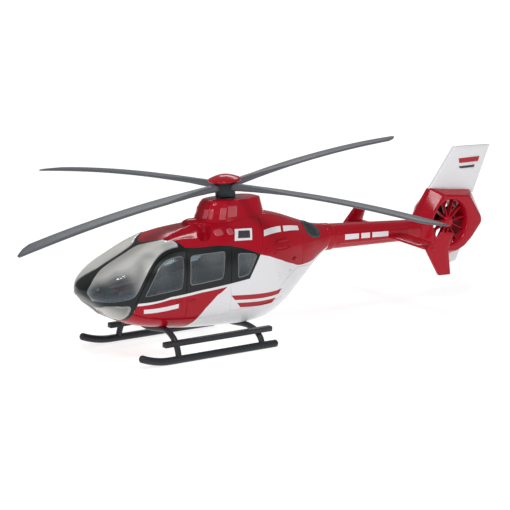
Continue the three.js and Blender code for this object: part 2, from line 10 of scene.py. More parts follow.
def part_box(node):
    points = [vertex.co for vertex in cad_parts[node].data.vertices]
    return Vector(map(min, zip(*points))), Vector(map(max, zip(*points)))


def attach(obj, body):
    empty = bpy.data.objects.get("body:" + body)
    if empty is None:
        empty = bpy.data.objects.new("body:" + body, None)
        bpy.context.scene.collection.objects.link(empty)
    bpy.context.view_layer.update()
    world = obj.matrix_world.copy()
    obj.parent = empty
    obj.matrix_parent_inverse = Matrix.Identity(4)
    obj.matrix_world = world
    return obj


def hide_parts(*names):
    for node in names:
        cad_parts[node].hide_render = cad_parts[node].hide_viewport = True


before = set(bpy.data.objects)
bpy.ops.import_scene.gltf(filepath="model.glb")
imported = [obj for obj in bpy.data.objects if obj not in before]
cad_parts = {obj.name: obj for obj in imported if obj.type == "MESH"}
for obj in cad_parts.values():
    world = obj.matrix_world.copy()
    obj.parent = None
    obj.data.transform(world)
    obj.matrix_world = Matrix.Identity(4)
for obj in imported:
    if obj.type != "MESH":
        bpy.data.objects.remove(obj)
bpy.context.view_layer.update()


def middle(node):
    low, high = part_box(node)
    return (Vector(low) + Vector(high)) / 2


# Shapes are drawn in millimetres, x from the mast and z from just under the skids.
ductX, ductZ = 62.4, 20.4
mastX = middle("fan_axle").x - ductX / 1000
datum = middle("fan_axle").z - ductZ / 1000


def at(point):
    x, y, z = point
    return Vector((mastX + x / 1000, y / 1000, datum + z / 1000))


# Meshes.

def piece(name, verts, faces, body, finish):
    mesh = bpy.data.meshes.new(name)
    mesh.from_pydata([at(v) for v in verts], [], faces)
    mesh.validate()
    work = bmesh.new()
    work.from_mesh(mesh)
    bmesh.ops.recalc_face_normals(work, faces=work.faces)
    work.to_mesh(mesh)
    work.free()
    obj = bpy.data.objects.new(name, mesh)
    bpy.context.scene.collection.objects.link(obj)
    for one in finish if isinstance(finish, (list, tuple)) else [finish]:
        mesh.materials.append(one)
    mesh.shade_smooth()
    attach(obj, body)
    return obj


def join(name, parts, body):
    work = bmesh.new()
    materials = []
    for part in parts:
        start = len(work.faces)
        work.from_mesh(part.data)
        work.faces.ensure_lookup_table()
        slots = []
        for one in part.data.materials:
            if one not in materials:
                materials.append(one)
            slots.append(materials.index(one))
        for i in range(start, len(work.faces)):
            work.faces[i].material_index = slots[work.faces[i].material_index]
    mesh = bpy.data.meshes.new(name)
    work.to_mesh(mesh)
    work.free()
    for one in materials:
        mesh.materials.append(one)
    obj = bpy.data.objects.new(name, mesh)
    bpy.context.scene.collection.objects.link(obj)
    for part in parts:
        old = part.data
        bpy.data.objects.remove(part)
        bpy.data.meshes.remove(old)
    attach(obj, body)
    return obj


# Quads between rings of equal length. wrap closes the last ring on the first.
def skin(rings, wrap=False, caps=True):
    count = len(rings[0])
    verts = [tuple(p) for ring in rings for p in ring]
    faces = []
    rows = len(rings)
    for i in range(rows if wrap else rows - 1):
        for j in range(count):
            a, b = i * count, ((i + 1) % rows) * count
            k = (j + 1) % count
            faces.append((a + j, a + k, b + k, b + j))
    if caps and not wrap:
        for start, ring in ((0, rings[0]), ((rows - 1) * count, rings[-1])):
            verts.append(tuple(sum((Vector(p) for p in ring), Vector()) / count))
            for j in range(count):
                faces.append((start + j, start + (j + 1) % count, len(verts) - 1))
    return verts, faces


def loft(name, rings, body, finish, wrap=False, caps=True):
    verts, faces = skin(rings, wrap, caps)
    return piece(name, verts, faces, body, finish)


def rounded(value, power):
    return math.copysign(abs(value) ** power, value)


# One turn in equal steps, in radians.
def turnSteps(count):
    return [k * math.tau / count for k in range(count)]


# A closed outline with its corners rounded and its straights cut into `fill` steps.
def roundCorners(points, radius, steps=5, fill=1):
    out, corners = [], []
    for i, here in enumerate(points):
        here = Vector(here)
        before, after = Vector(points[i - 1]), Vector(points[(i + 1) % len(points)])
        reach = min(radius, (before - here).length * 0.45, (after - here).length * 0.45)
        a = here + (before - here).normalized() * reach
        b = here + (after - here).normalized() * reach
        for k in range(steps + 1):
            t = k / steps
            out.append(a * (1 - t) ** 2 + here * 2 * t * (1 - t) + b * t * t)
        corners.append(len(out))
    filled, start = [], 0
    for end in corners:
        filled += out[start:end]
        last, following = out[end - 1], out[end % len(out)]
        filled += [last.lerp(following, k / fill) for k in range(1, fill)]
        start = end
    return filled


def catmull(points, closed, spacing):
    pts = [Vector(p) for p in points]
    count = len(pts)
    out = []
    for i in range(count if closed else count - 1):
        if closed:
            p0, p1, p2, p3 = (pts[(i + k) % count] for k in (-1, 0, 1, 2))
        else:
            p0, p1, p2, p3 = (pts[min(max(i + k, 0), count - 1)] for k in (-1, 0, 1, 2))
        steps = max(1, round((p2 - p1).length / spacing))
        for k in range(steps):
            t = k / steps
            out.append(
                (p1 * 2 + (p2 - p0) * t + (p0 * 2 - p1 * 5 + p2 * 4 - p3) * t * t
                 + (p1 * 3 - p0 - p2 * 3 + p3) * t ** 3) / 2
            )
    if not closed:
        out.append(pts[-1])
    return out


# Shader maths.

class Wire:
    def __init__(self, sheet, socket):
        self.sheet, self.socket = sheet, socket

    def sum(self, operation, other):
        return self.sheet.node("ShaderNodeMath", {"operation": operation}, {0: self, 1: other})

    def __add__(self, other):
        return self.sum("ADD", other)

    def __sub__(self, other):
        return self.sum("SUBTRACT", other)

    def __mul__(self, other):
        return self.sum("MULTIPLY", other)

    def __pow__(self, other):
        return self.sum("POWER", other)

    __radd__ = __add__
    __rmul__ = __mul__


class Sheet:
    def __init__(self, name):
        self.material = bpy.data.materials.new(name)
        self.material.use_nodes = True
        self.tree = self.material.node_tree
        self.tree.nodes.clear()

    def node(self, kind, settings, sockets, output=0):
        made = self.tree.nodes.new(kind)
        for key, value in settings.items():
            setattr(made, key, value)
        for key, value in sockets.items():
            if isinstance(value, Wire):
                self.tree.links.new(value.socket, made.inputs[key])
            else:
                made.inputs[key].default_value = value
        return Wire(self, made.outputs[output])

    def place(self):
        return self.node("ShaderNodeTexCoord", {}, {}, 3)

    def noise(self, scale, detail=3.0, stretch=(1, 1, 1)):
        where = self.node("ShaderNodeMapping", {}, {"Vector": self.place(), "Scale": stretch})
        sockets = {"Vector": where, "Scale": scale, "Detail": detail}
        return self.node("ShaderNodeTexNoise", {}, sockets)

    def blend(self, factor, first, second):
        settings = {"data_type": "RGBA"}
        return self.node("ShaderNodeMix", settings, {0: factor, 6: first, 7: second}, 2)

    def finish(self, shader):
        out = self.tree.nodes.new("ShaderNodeOutputMaterial")
        self.tree.links.new(shader.socket, out.inputs["Surface"])
        return self.material


def tint(colour, amount):
    return tuple(min(1, c * amount) for c in colour[:3]) + (1,)


# Moulded plastic: slow colour drift, flow marks in the gloss and the fine skin of the tool.
def plastic(name, colour, gloss, coat=0.0, grain=0.02, drift=0.06, metal=0.0, sheen=0.25):
    sheet = Sheet(name)
    slow = sheet.noise(120, 2)
    flow = sheet.noise(420, 4, (1, 0.35, 1))
    fine = sheet.noise(5200, 2)
    base = sheet.blend(slow, tint(colour, 1 - drift), tint(colour, 1 + drift))
    rough = gloss + (flow - 0.5) * 0.10 + (fine - 0.5) * 0.06
    bump = sheet.node(
        "ShaderNodeBump", {}, {"Strength": grain, "Distance": 0.00005, "Height": fine + flow * 0.6}
    )
    shader = sheet.node("ShaderNodeBsdfPrincipled", {}, {
        "Base Color": base, "Roughness": rough, "Metallic": metal, "IOR": 1.5,
        "Specular IOR Level": sheen, "Coat Weight": coat, "Coat Roughness": 0.06, "Normal": bump,
    })
    return sheet.finish(shader)


# Clear styrene: what is behind shows through, with a milky film that grows at a slant, towards the
# pane's thick edges and in soft clouds higher up. The film's colour is painted reflection, paler
# higher up, in the clouds and at a slant.
def clearStyrene(name, settings):
    sheet = Sheet(name)
    cloud = sheet.noise(settings["reflectionClouds"], 2)
    slant = sheet.node("ShaderNodeLayerWeight", {}, {"Blend": 0.5}, 1)
    edge = sheet.node("ShaderNodeAttribute", {"attribute_name": "edgeNear"}, {}, 2)
    place = sheet.node("ShaderNodeSeparateXYZ", {}, {0: sheet.place()}, 2)
    low, high = settings["rise"]
    rise = sheet.node("ShaderNodeMapRange", {"interpolation_type": "SMOOTHSTEP"}, {
        "Value": place, "From Min": datum + low / 1000, "From Max": datum + high / 1000,
    })
    reflectionPatch = sheet.node("ShaderNodeMapRange", {"interpolation_type": "SMOOTHSTEP"}, {
        "Value": cloud, "From Min": 0.38, "From Max": 0.62,
    })
    # Painted reflection: the film's colour goes from dark to pale higher up, in the clouds and at a
    # slant.
    tone = rise * 0.5 + reflectionPatch * 0.3 + slant * slant * 0.9
    reflectionMix = sheet.node("ShaderNodeClamp", {}, {"Value": tone})
    through = sheet.node("ShaderNodeBsdfTransparent", {}, {"Color": settings["through"]})
    bump = sheet.node(
        "ShaderNodeBump", {}, {"Strength": 0.1, "Distance": 0.00001, "Height": sheet.noise(230, 1)}
    )
    shine = sheet.node("ShaderNodeBsdfPrincipled", {}, {
        "Base Color": sheet.blend(reflectionMix, settings["dark"], settings["reflectionPale"]),
        "Roughness": 0.06 + cloud * 0.04, "IOR": 1.58, "Normal": bump,
    })
    # More film shows at a slant, near the rims and in the clouds of painted reflection.
    factor = (
        settings["veil"] + slant ** settings["bend"] * settings["slant"]
        + rise * reflectionPatch * settings["cloud"] + edge * settings["edge"]
    )
    clipped = sheet.node("ShaderNodeClamp", {}, {"Value": factor, "Max": 0.96})
    return sheet.finish(sheet.node("ShaderNodeMixShader", {}, {0: clipped, 1: through, 2: shine}))


colours = {
    "red": (0.40, 0.004, 0.016), "white": (0.80, 0.80, 0.82), "black": (0.010, 0.012, 0.012),
    "blade": (0.105, 0.112, 0.128), "skid": (0.026, 0.029, 0.034), "hub": (0.018, 0.028, 0.032),
    "exhaust": (0.050, 0.060, 0.066), "seat": (0.085, 0.100, 0.125), "floor": (0.10, 0.11, 0.12),
    "steel": (0.62, 0.62, 0.63), "fan": (0.020, 0.006, 0.008), "mark": (0.42, 0.02, 0.03),
    "tone": (0.05, 0.05, 0.055), "ventHighlight": (0.50, 0.07, 0.09),
}
redPaint = plastic("glossRed", colours["red"], 0.17, sheen=0.22)
# The vent panels' red is lighter than the body's: a painted highlight for flat panels catching the
# key light.
ventHighlightRed = plastic("ventHighlightRed", colours["ventHighlight"], 0.3, 0.5, 0.05)
whitePaint = plastic("glossWhite", colours["white"], 0.26, drift=0.02, sheen=0.3)
blackFrame = plastic("printedBlack", colours["black"], 0.24, sheen=0.3)
bladeGrey = plastic("bladeGrey", colours["blade"], 0.42, 0.0, 0.05)
skidBlack = plastic("skidCharcoal", colours["skid"], 0.36, 0.0, 0.05)
hubGrey = plastic("hubGreen", colours["hub"], 0.40, 0.0, 0.05)
exhaustGrey = plastic("exhaustGrey", colours["exhaust"], 0.42, 0.0, 0.06)
seatGrey = plastic("seatGrey", colours["seat"], 0.62, 0.0, 0.03)
floorGrey = plastic("floorGrey", colours["floor"], 0.6, 0.0, 0.03)
steelScrew = plastic("screwSteel", colours["steel"], 0.3, 0.0, 0.05, metal=1.0)
# The tail fan's near-black maroon is red darkened for the shade inside the duct: painted shade.
fanInShade = plastic("fanInShade", colours["fan"], 0.4, 0.0, 0.05)
markRed = plastic("printedRed", colours["mark"], 0.34)
markGrey = plastic("printedGrey", colours["tone"], 0.34)
# The windscreen's film: its pale colour is painted reflection, in clouds placed higher up.
glassBase = {
    "through": (0.90, 0.92, 0.94, 1), "dark": (0.09, 0.115, 0.14, 1), "reflectionPale": (0.72, 0.71, 0.67, 1),
    "reflectionClouds": 95, "rise": (14.5, 20.5), "veil": 0.16, "bend": 1.2, "slant": 1.4, "cloud": 0.45,
    "edge": 0.5,
}
screenGlass = clearStyrene("clearScreen", glassBase)
# The side panes have a darker painted reflection than the windscreen, less of it at a slant, and a
# darker tint.
sideGlass = clearStyrene("clearSide", glassBase | {
    "through": (0.74, 0.80, 0.84, 1), "reflectionPale": (0.34, 0.36, 0.37, 1), "cloud": 0.1, "slant": 0.35,
    "edge": 0.2,
})
# The chin panes have their painted reflection lower down and show more film.
chinGlass = clearStyrene("clearChin", glassBase | {
    "reflectionPale": (0.50, 0.48, 0.44, 1), "veil": 0.45, "rise": (6, 11), "cloud": 0.2,
})
paneEdge = plastic("paneEdge", (0.15, 0.165, 0.17), 0.2, sheen=0.5)
print("finishes made")

# The pod's surface, by station x and angle round the section (0 top, 90 port, 180 belly).

pod = {
    "nose": -36.3, "end": 27.0,
    "top": [(-36.3, 15.4), (-35.4, 17.0), (-33, 18.7), (-30, 20.3), (-26, 22.1), (-21, 24.4),
            (-16, 25.9), (-11, 26.7), (-6, 27.3), (2, 28.0), (8, 28.2), (13, 27.2), (18.6, 25.3),
            (23, 23.8), (27, 23.1)],
    "bottom": [(-36.3, 15.4), (-35.4, 13.8), (-33, 11.6), (-30, 9.3), (-26, 7.6), (-21, 6.5),
               (-12.5, 5.3), (-4, 4.7), (4, 4.5), (8.6, 5.3), (12.6, 7.2), (16, 9.8),
               (19.7, 12.6), (23, 15.1), (27, 17.4)],
    "half": [(-36.3, 0), (-35.4, 3.6), (-33, 6.1), (-30, 7.7), (-26, 8.7), (-20, 9.05),
             (-8, 9.1), (2, 9.0), (9, 8.3), (15, 6.9), (20, 5.2), (23.5, 3.9), (27, 2.9)],
    "waist": [(-36.3, 15.4), (-30, 14.4), (-20, 13.4), (-4, 13.4), (8, 14.6), (16, 16.8),
              (27, 20.2)],
    "squareTop": [(-36.3, 3), (-30, 3.8), (-20, 3.6), (-8, 3.0), (8, 2.8), (16, 2.5), (27, 2.2)],
    "squareLow": [(-36.3, 2.6), (-30, 2.8), (-20, 3.1), (-8, 3.0), (8, 2.8), (16, 2.5), (27, 2.2)],
    "spacing": 0.5, "around": 104, "turn": 6.0,
}
noseX = pod["nose"]


# A smooth value along x, interpolated over the root of the distance from the nose.
def along(pairs):
    keys = [math.sqrt(max(0, x - noseX)) for x, _ in pairs]
    values = [v for _, v in pairs]
    last = len(keys) - 1

    def value(x):
        key = math.sqrt(max(0, x - noseX))
        if key >= keys[last]:
            return values[last]
        i = 1
        while keys[i] <= key:
            i += 1
        t0, t1 = keys[i - 1], keys[i]
        before, after = (i - 2 if i > 1 else i), (i + 1 if i < last else i - 1)
        weightBefore = (t1 - t0) / 2 / (t0 - keys[before])
        weightAfter = (t1 - t0) / 2 / (keys[after] - t1)
        p = (key - t0) / (t1 - t0)
        p2, p3 = p * p, p ** 3
        return (
            (-weightBefore * p3 + 2 * weightBefore * p2 - weightBefore * p) * values[before]
            + ((1 + weightBefore) * p3 + (-1.5 - 2 * weightBefore) * p2
               + (-0.5 + weightBefore) * p + 1) * values[i - 1]
            + ((-1 - weightAfter) * p3 + (1.5 + weightAfter) * p2 + 0.5 * p) * values[i]
            + (weightAfter * p3 - weightAfter * p2) * values[after]
        )

    return value


podLines = {key: along(pod[key]) for key in (
    "top", "bottom", "half", "waist", "squareTop", "squareLow")}
sectionMemo = {}


def section(x):
    x = max(x, noseX + 1e-5)
    if x not in sectionMemo:
        waist = podLines["waist"](x)
        sectionMemo[x] = (
            max(1e-4, podLines["half"](x)), waist, max(1e-4, podLines["top"](x) - waist),
            max(1e-4, waist - podLines["bottom"](x)), podLines["squareTop"](x),
            podLines["squareLow"](x),
        )
    return sectionMemo[x]


def podPoint(x, degrees):
    half, waist, up, down, high, low = section(x)
    side, rise = math.sin(math.radians(degrees)), math.cos(math.radians(degrees))
    power = high if rise > 0 else low
    reach = (abs(side) ** power + abs(rise) ** power) ** (-1 / power)
    return Vector((x, -half * side * reach, waist + (up if rise > 0 else down) * rise * reach))


def podNormal(x, degrees):
    if x < noseX + 0.03:
        return Vector((-1, 0, 0))
    step = min(0.05, (x - noseX) / 3)
    run = podPoint(x + step, degrees) - podPoint(x - step, degrees)
    turn = podPoint(x, degrees + 1) - podPoint(x, degrees - 1)
    normal = turn.cross(run)
    out = podPoint(x, degrees) - Vector((x, 0, section(x)[1]))
    return normal.normalized() * (1 if normal.dot(out) > 0 else -1)


def degreesAt(x, z):
    half, waist, up, down, high, low = section(x)
    rise = min(1, max(-1, (z - waist) / (up if z > waist else down)))
    power = high if rise > 0 else low
    return math.degrees(math.atan2((1 - abs(rise) ** power) ** (1 / power), rise))


# Points (x, z) of the side view as stations and angles on the port side.
def sideView(points):
    return [(x, degreesAt(x, z)) for x, z in points]


# The pod unrolled on a plane: degrees turn round the nose, and x grows outwards so that
# shapes keep their proportions.
def toPlane(x, degrees):
    back = max(0, x - noseX)
    key = math.sqrt(back)
    if back > pod["turn"]:
        key = math.sqrt(pod["turn"]) * math.exp((back - pod["turn"]) / (2 * pod["turn"]))
    return Vector((key * math.sin(math.radians(degrees)), key * math.cos(math.radians(degrees))))


def fromPlane(point):
    back = point.length_squared
    if back > pod["turn"]:
        back = pod["turn"] * (1 + math.log(back / pod["turn"]))
    return noseX + back, math.degrees(math.atan2(point.x, point.y))


def mirrored(points):
    return [(x, -degrees) for x, degrees in points]


# How much one degree counts beside one millimetre of x when a line is cut into steps.
degreeScale = 0.15


def sampled(points, closed=True, curve=True, spacing=0.35):
    run = [Vector((x, degrees * degreeScale)) for x, degrees in points]
    if curve:
        dense = catmull(run, closed, spacing)
    else:
        dense = []
        count = len(run)
        for i in range(count if closed else count - 1):
            a, b = run[i], run[(i + 1) % count]
            steps = max(1, round((b - a).length / spacing))
            dense += [a.lerp(b, k / steps) for k in range(steps)]
        if not closed:
            dense.append(run[-1])
    return [(p.x, p.y / degreeScale) for p in dense]


windows = {
    "quarter": [(-35.75, 47), (-35.95, 80), (-35.75, 112), (-35.3, 131), (-34.6, 121.5),
                (-33.3, 110), (-31.5, 99.3), (-29.6, 91.8), (-28.3, 85.7), (-27.5, 77.4),
                (-26.4, 65), (-25, 55.2), (-23.3, 48.2), (-21.4, 43.9), (-19.8, 42.3),
                (-18, 42.6), (-16.9, 43), (-16.8, 39.6), (-17.2, 34.5), (-18.3, 27.6),
                (-20.1, 20.6), (-21.6, 13.2), (-22.6, 6.5), (-23.8, 3.6), (-26.2, 3),
                (-28.2, 3.2), (-30.2, 4), (-31.6, 5.5), (-32.6, 9.5), (-33.9, 18), (-34.9, 29)],
    "chin": [(-33.45, 169), (-33.75, 158), (-33.7, 145), (-33.55, 134), (-33.2, 124.5),
             (-32.2, 115.5), (-30.9, 109), (-29.5, 105), (-28.95, 108), (-29, 119), (-29.3, 134),
             (-29.6, 149), (-30, 161), (-30.6, 168), (-32, 171)],
    "door": [(-25.9, 84.6), (-25, 73.4), (-24, 64.8), (-22.8, 57.2), (-21.4, 52.4), (-19.9, 50.9),
             (-18.1, 51.3), (-16.8, 52.2), (-16.4, 53.6), (-16.5, 61.6), (-16.8, 72.2),
             (-17.1, 78.9), (-17.6, 81.1), (-20, 82.2), (-22.5, 83.2), (-25, 84.9)],
    "slide": [(-14.2, 54.4), (-11.7, 54.6), (-8.5, 55.5), (-6.3, 56.1), (-5.8, 57.6),
              (-6.1, 64.8), (-6.5, 74.6), (-6.9, 77.8), (-8, 78.6), (-10.6, 78.9), (-13.7, 79.3),
              (-14.8, 79), (-15.1, 77), (-15, 69), (-14.8, 58)],
    "rear": [(-2.3, 60.6), (0.2, 62), (2, 64.2), (2.3, 65.6), (1.6, 70.2), (0.6, 76.3),
             (0, 79.2), (-1, 80), (-2.2, 80.3), (-2.8, 79.2), (-2.8, 72.1), (-2.7, 63)],
}
bandEnd = (3.3, 65.5)
glazedPort = [(-21.6, 0), (-21.6, 5), (-20.9, 11), (-19.9, 17), (-18.3, 26), (-17, 34),
              (-16.2, 41), (-15.4, 46), (-12.2, 48.8), (-7.7, 50.2), (-4.2, 53), (-1.3, 57),
              (2, 62.4), bandEnd, *sideView([(1.8, 17.9), (0.2, 15.4), (-2.7, 15.1),
              (-12, 14.42), (-20, 13.85), (-27.5, 13.3)]), (-28.2, 114), (-28.6, 130),
              (-28.9, 146), (-29.4, 163), (-29.7, 180)]
paint = {
    "redTop": [bandEnd, *sideView([(5.8, 19.5), (9.4, 18.2), (13, 16.9), (14.5, 16.35),
               (15.6, 16.2), (17.2, 16.2)]), (21, 112), (24.8, 118), (27.5, 120)],
    "wedge": [*sideView([(-27.8, 12.75), (-20, 13.35), (-12, 13.9), (-5.6, 14.3)]),
              (-8.1, 92.6), (-11.1, 109.6), (-12.6, 121.5), (-14.1, 136.6), (-15.2, 150),
              (-15.9, 165), (-16.2, 180), (-30.2, 180), (-29.8, 163), (-29.2, 146),
              (-28.6, 129), (-28.1, 112)],
    "whiteBars": [
        sideView([(-26.2, 11.9), (-17.9, 12.2), (-18.0, 11.3), (-26.1, 11.0)]),
        [(5.3, 46.2), (10.4, 43.6), (10.1, 50.0), (4.9, 51.6)],
        [(11.2, 43.2), (16.4, 40.2), (16.2, 47.6), (10.9, 49.8)],
        [(-1.9, 38.6), (2.4, 41.4), (1.6, 52.2), (-2.9, 49.8)],
    ],
    "greyBars": [[(-1.2, 41.2), (1.7, 43.2), (1.2, 50), (-1.9, 48.2)]],
    "redBars": [
        sideView([(-4.6, 12.3), (9.6, 12.0), (8.7, 10.9), (-3.6, 11.2)]),
        sideView([(-3.0, 10.5), (8.0, 10.2), (7.0, 9.1), (-2.0, 9.4)]),
    ],
}
seams = [
    [(-27.9, 97), (-27.1, 83), (-26.2, 71.5), (-24.9, 60), (-23.1, 51.7), (-21, 47.5),
     (-18.6, 46.4), (-15.8, 47.6)],
    [(-15.4, 48.2), (-15.7, 62), (-16, 79), (-15.9, 92), (-15.9, 105), (-16.1, 119), (-16.3, 124)],
    [(-27.6, 121), (-22, 124), (-16.3, 124), (-9, 123), (-4.9, 121)],
    [(-4.2, 56), (-4.4, 68), (-4.6, 82), (-4.6, 100), (-4.7, 113), (-4.9, 121)],
    [(4.6, 5), (5.4, 16), (5.6, 25), (5, 42), (4.4, 53), (3.9, 63)],
    [(16.4, 5), (16.9, 20), (17.2, 38), (17.1, 52), (16.5, 73), (16.4, 90), (16.4, 95)],
    [(8.6, 109), (10.4, 101), (12.8, 96), (15.2, 95.6), (20, 113), (23, 120)],
    [(8.0, 58.2), (12.2, 59.6), (12, 66), (7.9, 64.6), (8.0, 58.2)],
    [(9.4, 120), (4, 118), (-4.7, 118)],
]
intake = [(-8.3, 9), (-9.4, 19.5), (-10.5, 30), (-11.5, 40), (-11.1, 43.2), (-10, 44.6),
          (-8.9, 44), (-8, 40), (-7.3, 34), (-6.8, 27), (-6.7, 21), (-7, 15), (-7.6, 11)]
ramp = {
    "front": (-20.6, 29.5), "top": (-8.3, 9), "foot": (-11.5, 40), "depth": 0.85, "scoop": 1.9,
    "floor": 1.8, "lip": 0.75, "insets": (-0.12, 0, 0.12, 0.25, 0.38, 0.52, 0.7),
    "zone": (-12.5, -5.9, 5, 50),
}


def rampEdge(degrees):
    (topX, topTurn), (footX, footTurn) = ramp["top"], ramp["foot"]
    return topX + (footX - topX) * (degrees - topTurn) / (footTurn - topTurn)


bellyPan = [(-22, 180), (-22, 150), (-15, 146), (-5, 146), (5, 148), (11.5, 156), (12, 180)]


def lattice(keepers):
    tree = kdtree.KDTree(len(keepers))
    for i, (x, degrees) in enumerate(keepers):
        tree.insert(podPoint(x, degrees), i)
    tree.balance()
    spots = [(noseX, 0.0)]
    front, rear, low, high = ramp["zone"]
    x, row = noseX + 0.004, 0
    while x < pod["end"]:
        half = section(x)[0]
        count = max(8, round(pod["around"] * min(1, 0.12 + half / 7)))
        for k in range(count):
            degrees = (k + (row % 2) / 2) * 360 / count
            fromTop = min(degrees % 360, 360 - degrees % 360)
            fine = front < x < rear and low < fromTop < high
            if not fine and tree.find(podPoint(x, degrees))[2] > 0.24:
                spots.append((x, degrees))
        step = 0.001
        while (podPoint(x + step, 90) - podPoint(x, 90)).length < pod["spacing"] and step < 0.5:
            step *= 1.15
        x += step
        row += 1
    for side in (1, -1):
        for i in range(32):
            for j in range(34):
                x, degrees = -12.3 + i * 0.2, side * (6 + (j + i % 2 / 2) * 1.25)
                if tree.find(podPoint(x, degrees))[2] > 0.1:
                    spots.append((x, degrees))
    return spots


def offsetLine(points, amount):
    run = [Vector((x, degrees * degreeScale)) for x, degrees in points]
    out = []
    for i, here in enumerate(run):
        way = run[min(i + 1, len(run) - 1)] - run[max(i - 1, 0)]
        out.append(here + Vector((-way.y, way.x)).normalized() * amount)
    return [(p.x, p.y / degreeScale) for p in out]


def insetLoop(points, amount):
    run = [Vector((x, degrees * degreeScale)) for x, degrees in points]
    area = sum(a.x * b.y - b.x * a.y for a, b in zip(run, run[1:] + run[:1]))
    out = []
    for i, here in enumerate(run):
        way = (run[(i + 2) % len(run)] - run[i - 2]).normalized()
        out.append(here + Vector((-way.y, way.x)) * (amount if area > 0 else -amount))
    return [(p.x, p.y / degreeScale) for p in out]


# One plane drawing of the whole pod: outlines are its fixed edges, the lattice fills the rest.
lines, closedLines = [], []
bellyRun = sampled(bellyPan, False, False, 0.3)
grooveSpots = []
port = {name: sampled(points) for name, points in windows.items()}
outlines = {}
for name, points in port.items():
    outlines[name + "Port"] = points
    outlines[name + "Starboard"] = mirrored(points)
glazed = sampled(glazedPort, False, False)
glazedLoop = glazed + mirrored(glazed)[::-1][1:-1]
inlines = {name: insetLoop(points, 0.13) for name, points in outlines.items()}
closedLines += list(outlines.values()) + list(inlines.values()) + [glazedLoop]
for side in (1, -1):
    flip = (lambda run: run) if side == 1 else mirrored
    lines.append(flip(sampled(paint["redTop"], False, False)))
    closedLines.append(flip(sampled(paint["wedge"], True, False)))
    for key in ("whiteBars", "greyBars", "redBars"):
        for bar in paint[key]:
            closedLines.append(flip(sampled(bar, True, False)))
    scoopLine = sampled(intake, True, False, 0.2)
    closedLines += [flip(insetLoop(scoopLine, amount)) for amount in ramp["insets"]]
    for corner in (ramp["top"], ramp["foot"]):
        lines.append(flip(sampled([corner, ramp["front"]], False, False, 0.2)))
    for seam in seams:
        run = sampled(seam, False, spacing=0.3)
        for amount in (-0.17, -0.08, 0, 0.08, 0.17):  # a groove is five lines wide
            lines.append(flip(offsetLine(run, amount)))
        grooveSpots += flip(run)
    for amount in (-0.07, 0.07):
        lines.append(flip(offsetLine(bellyRun, amount)))

exhausts = {
    "outline": [(19.0, 24.85), (20.7, 24.5), (22.2, 23.75), (22.95, 23.0), (23.45, 22.3),
                (23.65, 21.7), (23.0, 21.12), (21.3, 21.15), (19.8, 21.8), (18.8, 22.75),
                (18.55, 23.85)],
    "rings": [(0.985, -0.7), (0.985, 0.06), (0.965, 0.2), (0.9, 0.26), (0.78, 0.2), (0.7, 0.06),
              (0.64, -0.2), (0.6, -0.9), (0.3, -1.1)],
}
ports = {}
for side in (-1, 1):
    run = sampled(sideView(exhausts["outline"]), spacing=0.25)
    ports[side] = run if side == -1 else mirrored(run)
for ring in ports.values():
    closedLines.append(ring)
closedLines.append([(pod["end"], k * 360 / pod["around"]) for k in range(pod["around"])])

keepers = [p for run in lines + closedLines for p in run]
spots, edges = [], []
for run in lines + closedLines:
    start = len(spots)
    spots += [toPlane(*p) for p in run]
    edges += [(start + i, start + i + 1) for i in range(len(run) - 1)]
    if run in closedLines:
        edges.append((start + len(run) - 1, start))
spots += [toPlane(*p) for p in lattice(keepers)]
drawn = delaunay_2d_cdt(spots, edges, [], 0, 1e-5, False)
planeSpots = np.array([tuple(p) for p in drawn[0]])
triangles = np.array(drawn[2])
centroids = planeSpots[triangles].mean(axis=1)
print("pod has", len(planeSpots), "points and", len(triangles), "faces")


def within(points, outline):
    hit = np.zeros(len(points), bool)
    ring = np.array([tuple(toPlane(*p)) for p in outline])
    box = (points >= ring.min(0)).all(1) & (points <= ring.max(0)).all(1)
    chosen = points[box]
    odd = np.zeros(len(chosen), bool)
    for (x0, y0), (x1, y1) in zip(np.roll(ring, 1, 0), ring):
        if y0 != y1:
            over = (y0 > chosen[:, 1]) != (y1 > chosen[:, 1])
            odd ^= over & (chosen[:, 0] < (x1 - x0) * (chosen[:, 1] - y0) / (y1 - y0) + x0)
    hit[box] = odd
    return hit


def eitherSide(points, outline):
    return within(points, outline) | within(points, mirrored(outline))


faceX, faceTurn = np.array([fromPlane(Vector(c)) for c in centroids]).T
faceTurn = np.abs(faceTurn)
region = np.full(len(triangles), "skin", dtype=object)
region[within(centroids, glazedLoop)] = "frame"
paneInks = np.ones(len(triangles), int)
for name, outline in outlines.items():
    region[within(centroids, outline)] = name
    paneInks[within(centroids, inlines[name])] = 0
beltInner = offsetLine(bellyRun, -0.07)
beltOuter = offsetLine(bellyRun, 0.07)
isSkin = region == "skin"
outer = eitherSide(centroids, beltOuter) & isSkin
inner = eitherSide(centroids, beltInner) & isSkin
region[outer] = "gap"
region[inner] = "belly"
for ring in ports.values():
    region[within(centroids, ring)] = "gap"

redLine = np.array(sampled(paint["redTop"], False, False))
redTurn = np.where(faceX < bandEnd[0], bandEnd[1], np.interp(faceX, redLine[:, 0], redLine[:, 1]))
isRed = (faceTurn < redTurn) | eitherSide(centroids, sampled(paint["wedge"], True, False))
inks = np.where(isRed, 0, 1)
for ink, key in ((1, "whiteBars"), (3, "greyBars"), (2, "redBars")):
    for bar in paint[key]:
        inks[eitherSide(centroids, sampled(bar, True, False))] = ink

